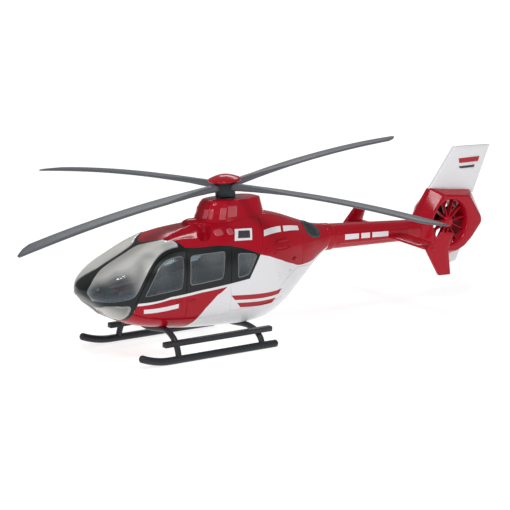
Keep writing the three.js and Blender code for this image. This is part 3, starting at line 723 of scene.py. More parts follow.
# How far each point lies below the plain surface: seams, ramp and scoop.
seamTree = kdtree.KDTree(len(grooveSpots))
for i, p in enumerate(grooveSpots):
    seamTree.insert(podPoint(*p), i)
seamTree.balance()
scoopTrees = {}
for side in (1, -1):
    edge = sampled(intake, True, False, 0.1)
    for label, part in (
        ("front", [p for p in edge if p[0] < rampEdge(p[1]) + 0.08]),
        ("lip", [p for p in edge if p[0] >= rampEdge(p[1]) + 0.08]),
    ):
        tree = kdtree.KDTree(len(part))
        for i, (x, degrees) in enumerate(part):
            tree.insert(podPoint(x, side * degrees), i)
        tree.balance()
        scoopTrees[side, label] = tree
inScoop = eitherSide(planeSpots, sampled(intake, True, False, 0.2))


def smooth(t):
    t = min(1, max(0, t))
    return t * t * (3 - 2 * t)


# A flat facet leads back to each scoop: a triangle of two corners on the scoop and one ahead.
def rampDepth(x, turn):
    (ax, ay), (bx, by), (cx, cy) = ramp["top"], ramp["foot"], ramp["front"]
    span = (by - cy) * (ax - cx) + (cx - bx) * (ay - cy)
    shareTop = ((by - cy) * (x - cx) + (cx - bx) * (turn - cy)) / span
    shareFoot = ((cy - ay) * (x - cx) + (ax - cx) * (turn - cy)) / span
    both = shareTop + shareFoot
    if min(shareTop, shareFoot) < 0 or both <= 0.01 or both > 1.01:
        return 0
    return ramp["depth"] * 4 * shareTop * shareFoot / both ** 2 * min(1, both * 1.2)


grooveDepth = 0.14
podSpots, podNormals, podDepths = [], [], []
for i, spot in enumerate(drawn[0]):
    x, degrees = fromPlane(spot)
    point = podPoint(x, degrees)
    depth = rampDepth(x, abs(degrees))
    side = 1 if degrees > 0 else -1
    back, lip = (scoopTrees[side, label].find(point)[2] for label in ("front", "lip"))
    share = (abs(degrees) - ramp["top"][1]) / (ramp["foot"][1] - ramp["top"][1])
    start = ramp["depth"] * 4 * max(0, share * (1 - share))
    if back < 0.075:
        depth = start
    elif inScoop[i] and lip > 0.07:
        depth = start + (ramp["scoop"] - start) * min(1, back / ramp["floor"])
        depth *= smooth((lip + 0.05) / ramp["lip"])
    if seamTree.find(point)[2] < 0.03:
        depth += grooveDepth
    podSpots.append(point)
    podNormals.append(podNormal(x, degrees))
    podDepths.append(depth)
print("pod surface placed")


# A closed shell over the chosen triangles, lift above the surface and thick below that.
def podPiece(name, chosen, lift, thick, finish, slots=None, rim=0.0):
    faces = triangles[chosen]
    used = np.unique(faces)
    lookup = {int(v): i for i, v in enumerate(used)}
    count = len(used)
    borders = {}
    for a, b, c in faces.tolist():
        for pair in ((a, b), (b, c), (c, a)):
            if (pair[1], pair[0]) in borders:
                del borders[(pair[1], pair[0])]
            else:
                borders[pair] = True
    onRim = {v for pair in borders for v in pair}
    top, low = [], []
    for v in used.tolist():
        height = lift - podDepths[v] - (rim if v in onRim else 0)
        top.append(podSpots[v] + podNormals[v] * height)
        low.append(podSpots[v] + podNormals[v] * (min(height, lift) - thick))
    shell = [tuple(lookup[v] for v in f) for f in faces.tolist()]
    shell += [tuple(lookup[v] + count for v in reversed(f)) for f in faces.tolist()]
    shell += [
        (lookup[b], lookup[a], lookup[a] + count, lookup[b] + count) for a, b in borders
    ]
    obj = piece(name, top + low, shell, "airframe", finish)
    if slots is not None:
        chosenSlots = slots[chosen].tolist()
        chosenSlots = chosenSlots + chosenSlots + [0] * len(borders)
        obj.data.polygons.foreach_set("material_index", chosenSlots)
    mark = bmesh.new()
    mark.from_mesh(obj.data)
    for e in mark.edges:
        if len(e.link_faces) == 2 and e.calc_face_angle() > math.radians(50):
            e.smooth = False
    mark.to_mesh(obj.data)
    mark.free()
    return obj


inkSet = [redPaint, whitePaint, markRed, markGrey]
skinPiece = podPiece("fuselageSkin", region == "skin", 0, 0.7, inkSet, inks)
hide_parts("fuselage_shell", "engine_cowling")
pan = podPiece("bellyPan", region == "belly", 0, 0.7, inkSet, inks)
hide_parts("belly_pan")
framePiece = podPiece("canopyFrame", region == "frame", 0.02, 0.5, blackFrame)
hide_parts("canopy_glazing")
for name in outlines:
    kind = screenGlass if name.startswith("quarter") else sideGlass
    kind = chinGlass if name.startswith("chin") else kind
    pane = podPiece(name + "Pane", region == name, 0.12, 0.45, [kind, paneEdge], paneInks, 0.10)
    rimTree = kdtree.KDTree(len(outlines[name]))
    for i, p in enumerate(outlines[name]):
        rimTree.insert(at(podPoint(*p)), i)
    rimTree.balance()
    fade = 0.0011 if name.startswith("quarter") else 0.0003
    near = [math.exp(-((rimTree.find(v.co)[2] / fade) ** 2)) for v in pane.data.vertices]
    pane.data.attributes.new("edgeNear", "FLOAT", "POINT").data.foreach_set("value", near)
print("pod pieces made")

# Latches, handles and caps that stand on the skin.

# Station, angle, length along x, width, height and finish of each.
studs = [
    (10.1, 58.6, 3.6, 0.55, 0.28, redPaint), (13.6, 80.5, 0.9, 0.75, 0.4, redPaint),
    (5.2, 63.0, 1.0, 0.5, 0.25, redPaint), (7.6, 68.5, 0.6, 0.5, 0.2, redPaint),
    (8.4, 88.0, 0.7, 0.7, 0.2, whitePaint), (12.2, 92.0, 0.9, 0.5, 0.2, whitePaint),
    # These two are vents, in the lighter red of the painted highlight.
    (-6.1, 38.4, 2.2, 1.6, 0.2, ventHighlightRed), (-3.3, 40.2, 1.5, 1.6, 0.2, ventHighlightRed),
    (-14.6, 95.5, 1.7, 0.45, 0.22, redPaint), (-17.8, 96.5, 1.5, 0.4, 0.2, redPaint),
]
studProfile = [(1, -0.2), (1, 0.35), (0.94, 0.7), (0.8, 0.92), (0.55, 1.0), (0.2, 1.02)]
studParts = []
for side in (1, -1):
    for x, degrees, long, wide, tall, finish in studs:
        centre, up = podPoint(x, side * degrees), podNormal(x, side * degrees)
        ahead = (podPoint(x + 0.2, side * degrees) - centre).normalized()
        across = up.cross(ahead)
        rings = []
        for share, lift in studProfile:
            rings.append([
                centre + up * tall * lift
                + ahead * share * long / 2 * rounded(math.cos(a), 0.6)
                + across * share * wide / 2 * rounded(math.sin(a), 0.6)
                for a in turnSteps(32)
            ])
        studParts.append(loft("stud", rings, "airframe", finish))
latches = join("skinLatches", studParts, "airframe")

# Exhausts.

for side, label in ((-1, "Port"), (1, "Starboard")):
    lip = [podPoint(*p) for p in ports[side]]
    centre = sum(lip, Vector()) / len(lip)
    outward = sum((podNormal(*p) for p in ports[side]), Vector()).normalized()
    rings = [
        [centre.lerp(p, share) + outward * lift for p in lip] for share, lift in exhausts["rings"]
    ]
    pipe = loft("exhaust" + label, rings, "airframe", exhaustGrey)
    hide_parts("exhaust_port" if side == -1 else "exhaust_starboard")

# Mast fairing.

fairing = {
    "front": -7.5, "rear": 9.7, "half": 4.7, "foot": 26.2, "top": 31.2, "sunk": 0.2,
    "lean": (2.4, 1.3), "narrow": 1.3, "bulge": 0.26, "square": 0.72, "around": 144, "rows": 44,
    "panels": [(170, 156, 0.3, 0.68), (151, 141, 0.3, 0.7), (125, 112, 0.26, 0.76),
               (108.5, 94, 0.34, 0.8)],
    "dome": (-8.3, 26.75, 2.7, 1.8, 1.1),
}


def fairingPoint(t, a):
    front = fairing["front"] + fairing["lean"][0] * t
    rear = fairing["rear"] - fairing["lean"][1] * t
    half = fairing["half"] - fairing["narrow"] * t
    ahead = smooth((3 - (front + rear) / 2 - (rear - front) / 2 * math.cos(a)) / 6)
    bulge = fairing["bulge"] * ahead * smooth((t - 0.42) / 0.3) * (1 - smooth((t - 0.84) / 0.2))
    along = rounded(math.cos(a), fairing["square"])
    x = (front + rear) / 2 + ((rear - front) / 2 + bulge) * along
    y = (half + bulge) * rounded(math.sin(a), fairing["square"])
    z = fairing["foot"] + (fairing["top"] + 0.1 - fairing["foot"]) * t
    return Vector((x, y, z))


rings = []
for i in range(fairing["rows"] + 1):
    t = (1 + fairing["sunk"]) * i / fairing["rows"] - fairing["sunk"]
    rings.append([fairingPoint(t, a) for a in turnSteps(fairing["around"])])
crown = rings[-1]
hubPoint = sum(crown, Vector()) / len(crown)
for share, rise in ((0.95, 0.10), (0.88, 0.17), (0.75, 0.2), (0.5, 0.22), (0.25, 0.22)):
    rings.append([hubPoint.lerp(p, share) + Vector((0, 0, rise)) for p in crown])
fairingPiece = loft("mastFairing", rings, "airframe", redPaint)
domeX, domeZ, long, wide, rise = fairing["dome"]
domeRings = []
for i in range(13):
    lift = -0.5 + i / 12 * 1.49
    width = math.sqrt(max(0, 1 - max(0, lift) ** 2))
    domeRings.append([
        Vector((domeX + long * width * math.cos(a), wide * width * math.sin(a), domeZ + rise * lift))
        for a in turnSteps(48)
    ])
fairingParts = [fairingPiece, loft("dome", domeRings, "airframe", redPaint)]
# The vent panels, raised on each side, take the lighter red of the painted highlight.
for side in (-1, 1):
    for low, high, bottom, top in fairing["panels"]:
        spots = []
        for sunk in (False, True):
            for i in range(9):
                for j in range(9):
                    u, v = i / 8, j / 8
                    turn = math.radians(low + (high - low) * u) * side
                    spot = fairingPoint(bottom + (top - bottom) * v, turn)
                    ahead = fairingPoint(bottom + (top - bottom) * v, turn + side * 0.02) - spot
                    outward = Vector((-ahead.y, ahead.x, 0)).normalized() * side
                    inner = 0 < min(u, 1 - u, v, 1 - v)
                    lift = -0.1 if sunk else (0.08 + 0.12 * v) * (1 if inner else 0.7)
                    spots.append(spot + outward * lift)
        faces = []
        for k in (0, 81):
            faces += [
                (k + i * 9 + j, k + i * 9 + j + 1, k + i * 9 + j + 10, k + i * 9 + j + 9)
                for i in range(8) for j in range(8)
            ]
        border = [i * 9 for i in range(9)] + [72 + j for j in range(1, 9)]
        border += [i * 9 + 8 for i in range(7, -1, -1)] + [j for j in range(7, 0, -1)]
        for a, b in zip(border, border[1:] + border[:1]):
            faces.append((a, b, b + 81, a + 81))
        fairingParts.append(piece("panel", spots, faces, "airframe", ventHighlightRed))
fairingPiece = join("mastFairing", fairingParts, "airframe")
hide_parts("mast_fairing")

# Tail boom.

boom = {
    "start": 26.4, "end": 54.8, "level": (20.1, 18.95), "tall": (2.85, 2.3), "wide": (2.75, 2.0),
    "square": 0.86, "around": 96, "collar": (28.3, 0.2), "panel": (29.5, 51.0, 62, 118),
    "bars": [(31.2, 35.3, 78, 96), (36.0, 38.6, 78, 96), (39.3, 44.2, 78, 96)],
}


def boomPoint(x, degrees):
    t = (x - 27.3) / 26.7
    level = boom["level"][0] + (boom["level"][1] - boom["level"][0]) * t
    tall = boom["tall"][0] + (boom["tall"][1] - boom["tall"][0]) * t
    wide = boom["wide"][0] + (boom["wide"][1] - boom["wide"][0]) * t
    grow = boom["collar"][1] * (1 - smooth((x - boom["collar"][0]) / 0.35))
    low, high, first, last = boom["panel"]
    side = abs(degrees)
    inner = min((x - low) * 1.2, high - x, (side - first) * 0.05, (last - side) * 0.05)
    grow += 0.2 * smooth(inner / 0.22)
    grow += 0.12 * (1 - smooth(side / 7)) if x > 28.6 else 0
    a = math.radians(degrees)
    return Vector((
        x, -(wide + grow) * rounded(math.sin(a), boom["square"]),
        level + (tall + grow) * rounded(math.cos(a), boom["square"]),
    ))


stations = {round(boom["start"] + i * 0.5, 3) for i in range(57)} | {boom["end"]}
for bar in boom["bars"]:
    stations |= {bar[0], bar[1]}
for edge in (28.3, 28.42, 28.54, 28.66, 29.5, 29.6, 29.7, 50.75, 50.87, 51.0):
    stations.add(edge)
stations = sorted(stations)
turns = [k * 360 / boom["around"] - 180 for k in range(boom["around"])]
boomRings = [[boomPoint(x, d) for d in turns] for x in stations]
boomPiece = loft("tailBoom", boomRings, "airframe", [redPaint, whitePaint])
for poly in boomPiece.data.polygons:
    i, j = divmod(poly.index, boom["around"])
    if i < len(stations) - 1:
        x, side = (stations[i] + stations[i + 1]) / 2, abs(turns[j] + 1.9)
        if any(bar[0] < x < bar[1] and bar[2] < side < bar[3] for bar in boom["bars"]):
            poly.material_index = 1
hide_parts("tail_boom")

# Ducted tail.

duct = {
    "centre": (ductX, ductZ), "radius": 5.2, "half": 3.5,
    "corners": [
        (54.3, 16.9, 1.9, 58, 16.1), (58, 14.2, 1.2, 59.9, 14.6), (61, 12.7, 0.5, 61.9, 13.6),
        (64.5, 12.1, 0.4, 64.6, 13.5), (68, 12.9, 0.4, 67, 14.5), (71.2, 14.9, 0.4, 69.2, 16.4),
        (74.8, 19.2, 0.4, 72, 19.6), (74.7, 20.4, 0.4, 71.9, 20.8), (71.7, 25.8, 0.4, 68.8, 25.0),
        (70.7, 27.1, 0.4, 67.6, 26.2), (58.1, 28.4, 0.6, 60.5, 26.9), (55.3, 24, 0.8, 57, 23.5),
        (53.6, 21.3, 1.1, 56.3, 20.6),
    ],
    "vanes": 11, "vaneY": (-2.5, -1.2), "thick": 0.32, "phase": 8,
}
cx, cz = duct["centre"]


edgeLine = roundCorners([(x, z, w) for x, z, w, _, _ in duct["corners"]], 0.5, 4, 10)
faceLine = roundCorners([(x, z, 0) for _, _, _, x, z in duct["corners"]], 0.6, 4, 10)
bearings = [math.atan2(p.y - cz, p.x - cx) for p in faceLine]
half, radius = duct["half"], duct["radius"]
walls = [(radius, 0), (radius, 2.6), (radius + 0.04, 2.95), (radius + 0.16, 3.22),
         (radius + 0.27, 3.4), (radius + 0.38, 3.48), (radius + 0.46, half)]


def bearingRing(r, y):
    return [Vector((cx + r * math.cos(a), y, cz + r * math.sin(a))) for a in bearings]


shroudRings = [bearingRing(r, -y) for r, y in walls]
for side in (-1, 1):
    ringsHere = []
    for i, face in enumerate(faceLine):
        edge = edgeLine[i]
        start = Vector((face.x, side * half, face.y))
        stop = Vector((edge.x, side * edge.z, edge.y))
        inward = Vector((cx - face.x, 0, cz - face.y)).normalized() * 0.34
        ringsHere.append([
            start + inward, start + inward * 0.35 - Vector((0, side * 0.03, 0)),
            start.lerp(stop, 0.07) + Vector((0, side * 0.02, 0)), start.lerp(stop, 0.16),
            start.lerp(stop, 0.93), stop.lerp(start, 0.012) - Vector((0, side * edge.z * 0.12, 0)),
        ])
    columns = [list(c) for c in zip(*ringsHere)]
    if side == -1:
        shroudRings += columns
    else:
        shroudRings += [list(c) for c in reversed(columns)]
shroudRings += [bearingRing(r, y) for r, y in reversed(walls[1:])]
shroud = loft("tailShroud", shroudRings, "airframe", redPaint, wrap=True)

vanes = [shroud]
low, high = duct["vaneY"]
for k in range(duct["vanes"] + 1):
    forward = k == duct["vanes"]
    a = math.radians(180 if forward else duct["phase"] + k * 360 / duct["vanes"])
    thick = 0.55 if forward else duct["thick"]
    along, across = Vector((math.cos(a), 0, math.sin(a))), Vector((-math.sin(a), 0, math.cos(a)))
    rings = []
    for r in (0.9, 1.6, 3.2, 4.6, radius + 0.3):
        ring = []
        for b in turnSteps(16):
            y = (low + high) / 2 + (high - low) / 2 * rounded(math.cos(b), 0.7)
            ring.append(
                Vector((cx, y, cz)) + along * r + across * (thick / 2) * rounded(math.sin(b), 0.7)
            )
        rings.append(ring)
    vanes.append(loft("vane", rings, "airframe", redPaint))
boss = []
for r, y in ((0.3, -0.45), (1.45, -0.45), (1.45, -2.3), (1.36, -2.62), (1.1, -2.85), (0.6, -2.97),
             (0.1, -3.0)):
    boss.append([Vector((cx + r * math.cos(a), y, cz + r * math.sin(a))) for a in turnSteps(40)])
vanes.append(loft("boss", boss, "airframe", redPaint))
tailDuct = join("tailDuct", vanes, "airframe")
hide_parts("fenestron_shroud")
print("tail duct made")

# Fins, stabiliser and end plates.

# A flat wing between two edge lines, each a list of points, with a rounded section.
def wing(name, fronts, rears, thickness, across, finish, square=0.55, around=44):
    rings = []
    rows = len(fronts)
    for i, (front, rear) in enumerate(zip(fronts, rears)):
        thick = thickness[i] if isinstance(thickness, (list, tuple)) else thickness
        ring = []
        for a in turnSteps(around):
            u = (1 - rounded(math.cos(a), 0.8)) / 2
            taper = 1 - 0.35 * u
            offset = across * (thick / 2 * taper * rounded(math.sin(a), square))
            ring.append(front.lerp(rear, u) + offset)
        rings.append(ring)
    return loft(name, rings, "airframe", finish)


def wingRows(front, rear, steps):
    (f0, f1), (r0, r1) = front, rear
    shares = [i / steps for i in range(steps)] + [0.985, 1.0]
    fronts = [f0.lerp(f1, s) for s in shares]
    rears = [r0.lerp(r1, s) for s in shares]
    return fronts, rears, shares


fins = {
    "upper": [(57.9, 28.0), (65.4, 37.5), (76.9, 37.2), (72.0, 26.2)], "upperThick": 1.8,
    "lower": [(61.0, 13.0), (62.3, 9.6), (67.3, 10.4), (68.8, 13.4)], "lowerThick": 1.6,
    "tail": {"front": 44.85, "chord": 5.6, "thick": 0.95, "level": 18.6, "half": 13.75},
    "roll": 3.2, "plateY": 14.9, "plateThick": 0.8, "toe": 7,
    "plateProfile": [(0.35, 0.42), (0.94, 0.42), (0.985, 0.36), (1, 0.22), (1, -0.22),
                     (0.985, -0.36), (0.94, -0.42), (0.35, -0.42)],
    "plate": [(3.9, 22.1), (7.2, 21.8), (6, 18.3), (7.1, 12.2), (3.9, 12.2), (0, 18.4)],
}
sideways = Vector((0, 1, 0))
for key, name, node, finish in (
    ("upper", "verticalFin", "vertical_fin", whitePaint),
    ("lower", "lowerFin", "lower_fin", whitePaint),
):
    a, b, c, d = (Vector((x, 0, z)) for x, z in fins[key])
    fronts, rears, shares = wingRows((a, b), (d, c), 10)
    thick = [fins[key + "Thick"] * (0.8 if s == 1.0 else 1) for s in shares]
    fin = wing(name, fronts, rears, thick, sideways, finish)
    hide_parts(node)

for name, finish, low, high, first, last in (
    ("finBar", markRed, 33.6, 34.7, 66.6, 72.4), ("finLine", markGrey, 32.3, 32.8, 67.4, 71.6),
):
    rings = []
    for y in (-0.84, 0.84):
        rings.append([
            Vector((x + (z - 33) * 0.35, y, z)) for x, z in
            ((first, low), (last, low), (last + 0.2, high), (first - 0.6, high))
        ])
    mark = loft(name, rings, "airframe", finish)
    mark.data.shade_flat()

tail = fins["tail"]
rollTurn = Matrix.Rotation(math.radians(fins["roll"]), 3, "X")
pivot = Vector((tail["front"], 0, tail["level"]))


def rolled(point):
    return pivot + rollTurn @ (Vector(point) - pivot)


ends = [i / 12 * 2 - 1 for i in range(13)]
fronts = [rolled((tail["front"], tail["half"] * s, tail["level"])) for s in ends]
rears = [rolled((tail["front"] + tail["chord"], tail["half"] * s, tail["level"])) for s in ends]
stabiliser = wing("stabiliser", fronts, rears, tail["thick"], rollTurn @ Vector((0, 0, 1)), redPaint)
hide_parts("horizontal_stabiliser")
for side, label, node in ((-1, "Port", "endplate_port"), (1, "Starboard", "endplate_starboard")):
    outline = roundCorners([(x, z) for x, z in fins["plate"]], 0.35, 3)
    toe = Matrix.Rotation(math.radians(side * fins["toe"]), 3, "Z")
    centre = Vector((tail["front"] + 3.6, side * fins["plateY"], 0))
    middlePoint = Vector((3.9, 17.6))
    rings = []
    for share, y in fins["plateProfile"]:
        ring = []
        for p in outline:
            q = middlePoint.lerp(p, share)
            offset = toe @ Vector((q.x - 3.6, -side * y * fins["plateThick"] / 0.84, 0))
            ring.append(rolled(centre + offset + Vector((0, 0, q.y))))
        rings.append(ring)
    plate = loft("plate", rings, "airframe", redPaint)
    pinRings = []
    for r, y in ((0.42, 0.3), (0.42, 0.52), (0.34, 0.6), (0.12, 0.62)):
        pinRings.append([
            rolled(centre + toe @ Vector((r * math.cos(a) - 2, side * y, 0))
                   + Vector((0, 0, 18.5 + r * math.sin(a))))
            for a in turnSteps(20)
        ])
    pin = loft("pin", pinRings, "airframe", redPaint)
    plate = join("endPlate" + label, [plate, pin], "airframe")
    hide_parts(node)
print("fins made")

# Skids.

# A round bar along a line, closed by rounded ends.
def bar(name, line, radius, finish, lean, around=28):
    run = [Vector(p) for p in line]
    rings = []
    shares = [(0.0, 0.35), (0.35, 0.75), (0.7, 0.95)]
    count = len(run)
    for i, here in enumerate(run):
        way = (run[min(i + 1, count - 1)] - run[max(i - 1, 0)]).normalized()
        side = way.cross(lean).normalized()
        up = side.cross(way).normalized()

        def ring(centre, size):
            return [
                centre + side * radius * size * math.cos(a) + up * radius * size * math.sin(a)
                for a in turnSteps(around)
            ]

        if i == 0:
            rings += [ring(here + way * radius * (s - 1) * 0.7, size) for s, size in shares]
        rings.append(ring(here, 1))
        if i == count - 1:
            rings += [ring(here - way * radius * (s - 1) * 0.7, size) for s, size in shares[::-1]]
    return loft(name, rings, "airframe", finish)


skids = {
    "track": 23, "radius": 0.8, "level": 1.1, "front": -28.6, "rear": 5.4, "curl": 1.2, "bend": 7,
    "bowRadius": 0.65,
    "bows": [
        ("frontBow", "front_cross_tube", -19.5,
         [(0, 5.75), (5.6, 6.4), (7.7, 6.15), (9.8, 4.9), (11, 3), (11.5, 1.2)]),
        ("rearBow", "rear_cross_tube", 1.9,
         [(0, 4.15), (4.6, 4.5), (7, 4.45), (9.2, 3.9), (10.9, 2.6), (11.5, 1.2)]),
    ],
    "step": {"front": -22.5, "rear": 4.8, "y": 10.5, "z": 4.3, "width": 1.5, "height": 1.15},
}
for side, label, word in ((-1, "Port", "port"), (1, "Starboard", "starboard")):
    y = side * skids["track"] / 2
    line = []
    for i in range(60):
        x = skids["front"] + (skids["rear"] - skids["front"]) * (i / 59) ** 1.3
        bend = max(0, 1 - (x - skids["front"]) / skids["bend"])
        line.append((x, y, skids["level"] + skids["curl"] * 1.15 * bend ** 2))
    tube = bar("skid" + label, line, skids["radius"], skidBlack, Vector((0, 1, 0)))
    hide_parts("skid_tube_" + word)
    step = skids["step"]
    rings = []
    for x, size in ((step["front"], 0.9), (step["front"] + 0.1, 1), (step["rear"] - 0.1, 1),
                    (step["rear"], 0.9)):
        rings.append([
            Vector((x, side * step["y"] + step["width"] / 2 * size * rounded(math.cos(a), 0.35),
                    step["z"] + step["height"] / 2 * size * rounded(math.sin(a), 0.35)))
            for a in turnSteps(40)
        ])
    board = loft("step" + label, rings, "airframe", skidBlack)
    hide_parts("step_" + word)
for name, node, x, half in skids["bows"]:
    line = [(x, -y, z) for y, z in reversed(half[1:])] + [(x, y, z) for y, z in half]
    bow = bar(name, catmull(line, False, 0.5), skids["bowRadius"], skidBlack, Vector((1, 0, 0)))
    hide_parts(node)
print("skids made")

# Main rotor, in the mast's own frame.

rotor = {
    "tilt": 5.2, "phase": 10.3, "radius": 58.6, "height": 33.9, "chord": 3.4, "thick": 0.75,
    "arch": 0.75, "droop": 1.6, "pitch": 3, "set": [(0, 4), (0, 1), (1.4, -4), (-0.6, -5)],
    "cap": [(0.01, 1.4), (0.5, 1.39), (1.0, 1.34), (1.6, 1.2), (2.2, 1.0), (2.7, 0.8), (3.1, 0.64),
            (3.4, 0.5), (3.56, 0.38), (3.6, 0.24), (3.55, 0.1), (3.42, 0.0), (0.01, 0.0)],
    "capLevel": 1.25,
}
mastTurn = Matrix.Rotation(math.radians(-rotor["tilt"]), 4, "Y")
mastFrame = Matrix.Translation((0, 0, rotor["height"])) @ mastTurn


def bladeRows():
    reach, chord, thick = rotor["radius"], rotor["chord"], rotor["thick"]
    keys = [
        (2.4, 1.7, 1.7, 0, 0), (6, 1.8, 1.5, 0, 0), (10, 2.2, 1.25, 0, 0.4),
        (15, 2.9, 1.0, -0.1, 0.8),
        (19, chord, thick, -0.15, 1), (reach * 0.5, chord, thick, -0.15, 1),
        (reach * 0.8, chord, thick, -0.15, 1), (reach - 5, chord, thick * 0.9, -0.15, 1),
        (reach - 2.6, 2.5, thick * 0.75, -0.55, 1), (reach - 0.8, 1.3, 0.5, -1.1, 1),
        (reach, 0.8, 0.35, -1.35, 1),
    ]
    rows = []
    for a, b in zip(keys, keys[1:]):
        steps = max(1, round((b[0] - a[0]) / 0.8))
        for k in range(steps):
            t = k / steps
            s = t if a[0] >= reach - 6 else smooth(t)
            rows.append(tuple(
                p + (q - p) * (t if n == 0 else s) for n, (p, q) in enumerate(zip(a, b))
            ))
    return rows + [keys[-1]]


bladeShape = bladeRows()
for number, (rise, twist) in enumerate(rotor["set"]):
    turn = Matrix.Rotation(math.radians(rotor["phase"] + 90 * number), 4, "Z")
    turn = turn @ Matrix.Rotation(rise / rotor["radius"], 4, "Y")
    turn = mastFrame @ turn @ Matrix.Rotation(math.radians(twist), 4, "X")
    rings = []
    for r, width, height, sweep, twisted in bladeShape:
        t = r / rotor["radius"]
        lift = 4 * rotor["arch"] * t * (1 - t) - rotor["droop"] * t * t
        ring = []
        for a in turnSteps(36):
            y = sweep + width / 2 * rounded(math.cos(a), 0.85)
            z = lift + height / 2 * rounded(math.sin(a), 0.8 - 0.1 * twisted)
            z += y * math.tan(math.radians(rotor["pitch"] * twisted))
            ring.append(turn @ Vector((-r, y, z)))
        rings.append(ring)
    blade = loft("rotorBlade" + str(number + 1), rings, "main_rotor", bladeGrey)
    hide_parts("rotor_blade_" + str(number + 1))

# The hub block and the collar it turns on.
for label, node, body, levels in (
    ("rotorHub", "rotor_hub", "main_rotor",
     [(0.3, -2.02), (1.95, -2.02), (2.1, -1.94), (2.16, -1.8), (2.16, 0.95), (2.1, 1.08),
      (0.3, 1.1)]),
    ("mastCollar", "mast_bush", "airframe",
     [(0.95, -3.6), (2.1, -3.6), (2.16, -3.5), (2.16, -2.35), (2.1, -2.24), (0.95, -2.22)]),
):
    rings = []
    for r, z in levels:
        ring = []
        for a in turnSteps(64):
            size = r if r > 1.9 else r * 0.95
            spot = Vector((size * rounded(math.cos(a), 0.4), size * rounded(math.sin(a), 0.4), z))
            turn = Matrix.Rotation(math.radians(rotor["phase"] + 45), 4, "Z")
            ring.append(mastFrame @ turn @ spot)
        rings.append(ring)
    block = loft(label, rings, body, hubGrey)
    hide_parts(node)

rings = []
for r, z in rotor["cap"]:
    rings.append([
        mastFrame @ Vector((r * math.cos(a), r * math.sin(a), rotor["capLevel"] + z))
        for a in turnSteps(96)
    ])
cap = loft("rotorCap", rings, "main_rotor", redPaint, caps=False)
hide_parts("rotor_cap")
print("rotor made")

# Parts of the frame that stay as they are, with softened edges.

kept = {
    "rotor_mast": (hubGrey, 0.05),
    # The fan and its axle take the painted shade of the duct.
    "tail_fan": (fanInShade, 0.05), "fan_axle": (fanInShade, 0.05), "cabin_floor": (floorGrey, 0.1),
    "pilot_seat": (seatGrey, 0.3), "copilot_seat": (seatGrey, 0.3), "rear_bench": (seatGrey, 0.3),
    "instrument_panel": (floorGrey, 0.2), "rear_bulkhead": (floorGrey, 0.05),
    "front_belly_screw": (steelScrew, 0.08), "rear_belly_screw": (steelScrew, 0.08),
}
for name, (finish, width) in kept.items():
    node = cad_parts[name]
    node.data.materials.clear()
    node.data.materials.append(finish)
    bevel = node.modifiers.new("soften", "BEVEL")
    bevel.width = width / 1000
    bevel.segments = 2
    bevel.limit_method = "ANGLE"
    bevel.angle_limit = math.radians(40)

# Floor, light and camera.

stage = {
    "floor": 6.0, "sky": (1.0, 1.0, 1.0, 1), "skyLevel": 0.30, "glow": 1.0,
    "look": (-0.001614, 0.0, 0.017735), "turn": 0.6416, "tip": 0.2006, "away": 0.41892,
    "roll": 0.0133, "lens": 136.0,
    "lights": [
        ("key", (-0.28, -0.30, 0.62), (0.0, 0.0, 0.02), 0.20, 0.16, 1.9),
        ("side", (-0.62, -0.16, 0.26), (-0.02, 0.0, 0.02), 0.10, 0.26, 0.7),
        ("back", (0.34, 0.44, 0.46), (0.02, 0.0, 0.02), 0.30, 0.16, 0.8),
        ("front", (0.26, -0.60, 0.34), (0.02, 0.0, 0.02), 0.12, 0.24, 0.45),
    ],
}
ground = Sheet("paleGround")
cloud = ground.noise(9, 2)
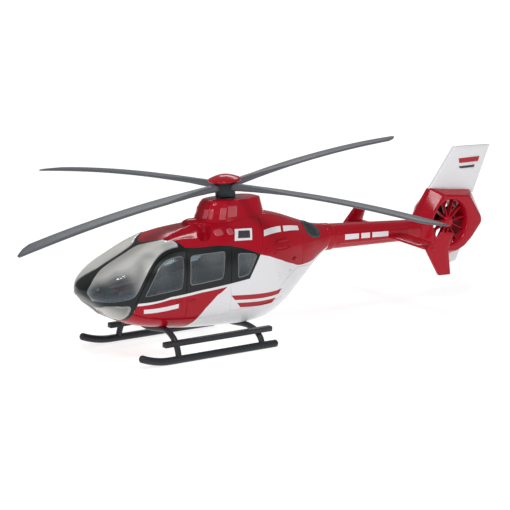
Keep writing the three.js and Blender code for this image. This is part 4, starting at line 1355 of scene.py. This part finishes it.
# The floor glows so that it reads white. Its glow is dimmer near the model: painted shade round it,
# which also lights the model less from below.
away = ground.node("ShaderNodeVectorMath", {"operation": "LENGTH"}, {0: ground.place()}, 1)
shadeFalloff = ground.node("ShaderNodeMapRange", {}, {"Value": away, "From Min": 0.1, "From Max": 1.0})
groundShader = ground.node("ShaderNodeBsdfPrincipled", {}, {
    "Base Color": ground.blend(cloud, (0.38, 0.38, 0.38, 1), (0.42, 0.42, 0.42, 1)),
    "Roughness": 0.9, "Specular IOR Level": 0.0,
    "Emission Color": ground.blend(shadeFalloff, (0.80, 0.80, 0.80, 1), (1, 1, 1, 1)),
    "Emission Strength": stage["glow"],
})
groundFinish = ground.finish(groundShader)
size = stage["floor"]
mesh = bpy.data.meshes.new("ground")
mesh.from_pydata([(-size, -size, 0), (size, -size, 0), (size, size, 0), (-size, size, 0)], [],
                 [(0, 1, 2, 3)])
mesh.materials.append(groundFinish)
floorPiece = bpy.data.objects.new("ground", mesh)
bpy.context.scene.collection.objects.link(floorPiece)

world = bpy.data.worlds.new("studio")
world.use_nodes = True
backdrop = world.node_tree.nodes["Background"]
backdrop.inputs["Color"].default_value = stage["sky"]
backdrop.inputs["Strength"].default_value = stage["skyLevel"]
bpy.context.scene.world = world
for name, place, target, width, height, power in stage["lights"]:
    lamp = bpy.data.lights.new(name, "AREA")
    lamp.shape = "RECTANGLE"
    lamp.size, lamp.size_y = width, height
    lamp.energy = power
    lampPiece = bpy.data.objects.new(name, lamp)
    lampPiece.location = place
    aim = Vector(target) - Vector(place)
    lampPiece.rotation_euler = aim.to_track_quat("-Z", "Y").to_euler()
    bpy.context.scene.collection.objects.link(lampPiece)

turn, tip, roll = stage["turn"], stage["tip"], stage["roll"]
back = Vector((-math.sin(turn) * math.cos(tip), -math.cos(turn) * math.cos(tip), math.sin(tip)))
right = Vector((math.cos(turn), -math.sin(turn), 0))
up = back.cross(right)
right, up = (
    right * math.cos(roll) + up * math.sin(roll), up * math.cos(roll) - right * math.sin(roll)
)
camera = bpy.data.objects.new("camera", bpy.data.cameras.new("camera"))
camera.data.lens = stage["lens"]
camera.data.sensor_width = 36
camera.data.clip_start = 0.01
axes = Matrix((right, up, back)).transposed().to_4x4()
camera.matrix_world = Matrix.Translation(Vector(stage["look"]) + back * stage["away"]) @ axes
bpy.context.scene.collection.objects.link(camera)
bpy.context.scene.camera = camera
bpy.context.scene.view_settings.view_transform = "Standard"
print("stage set")
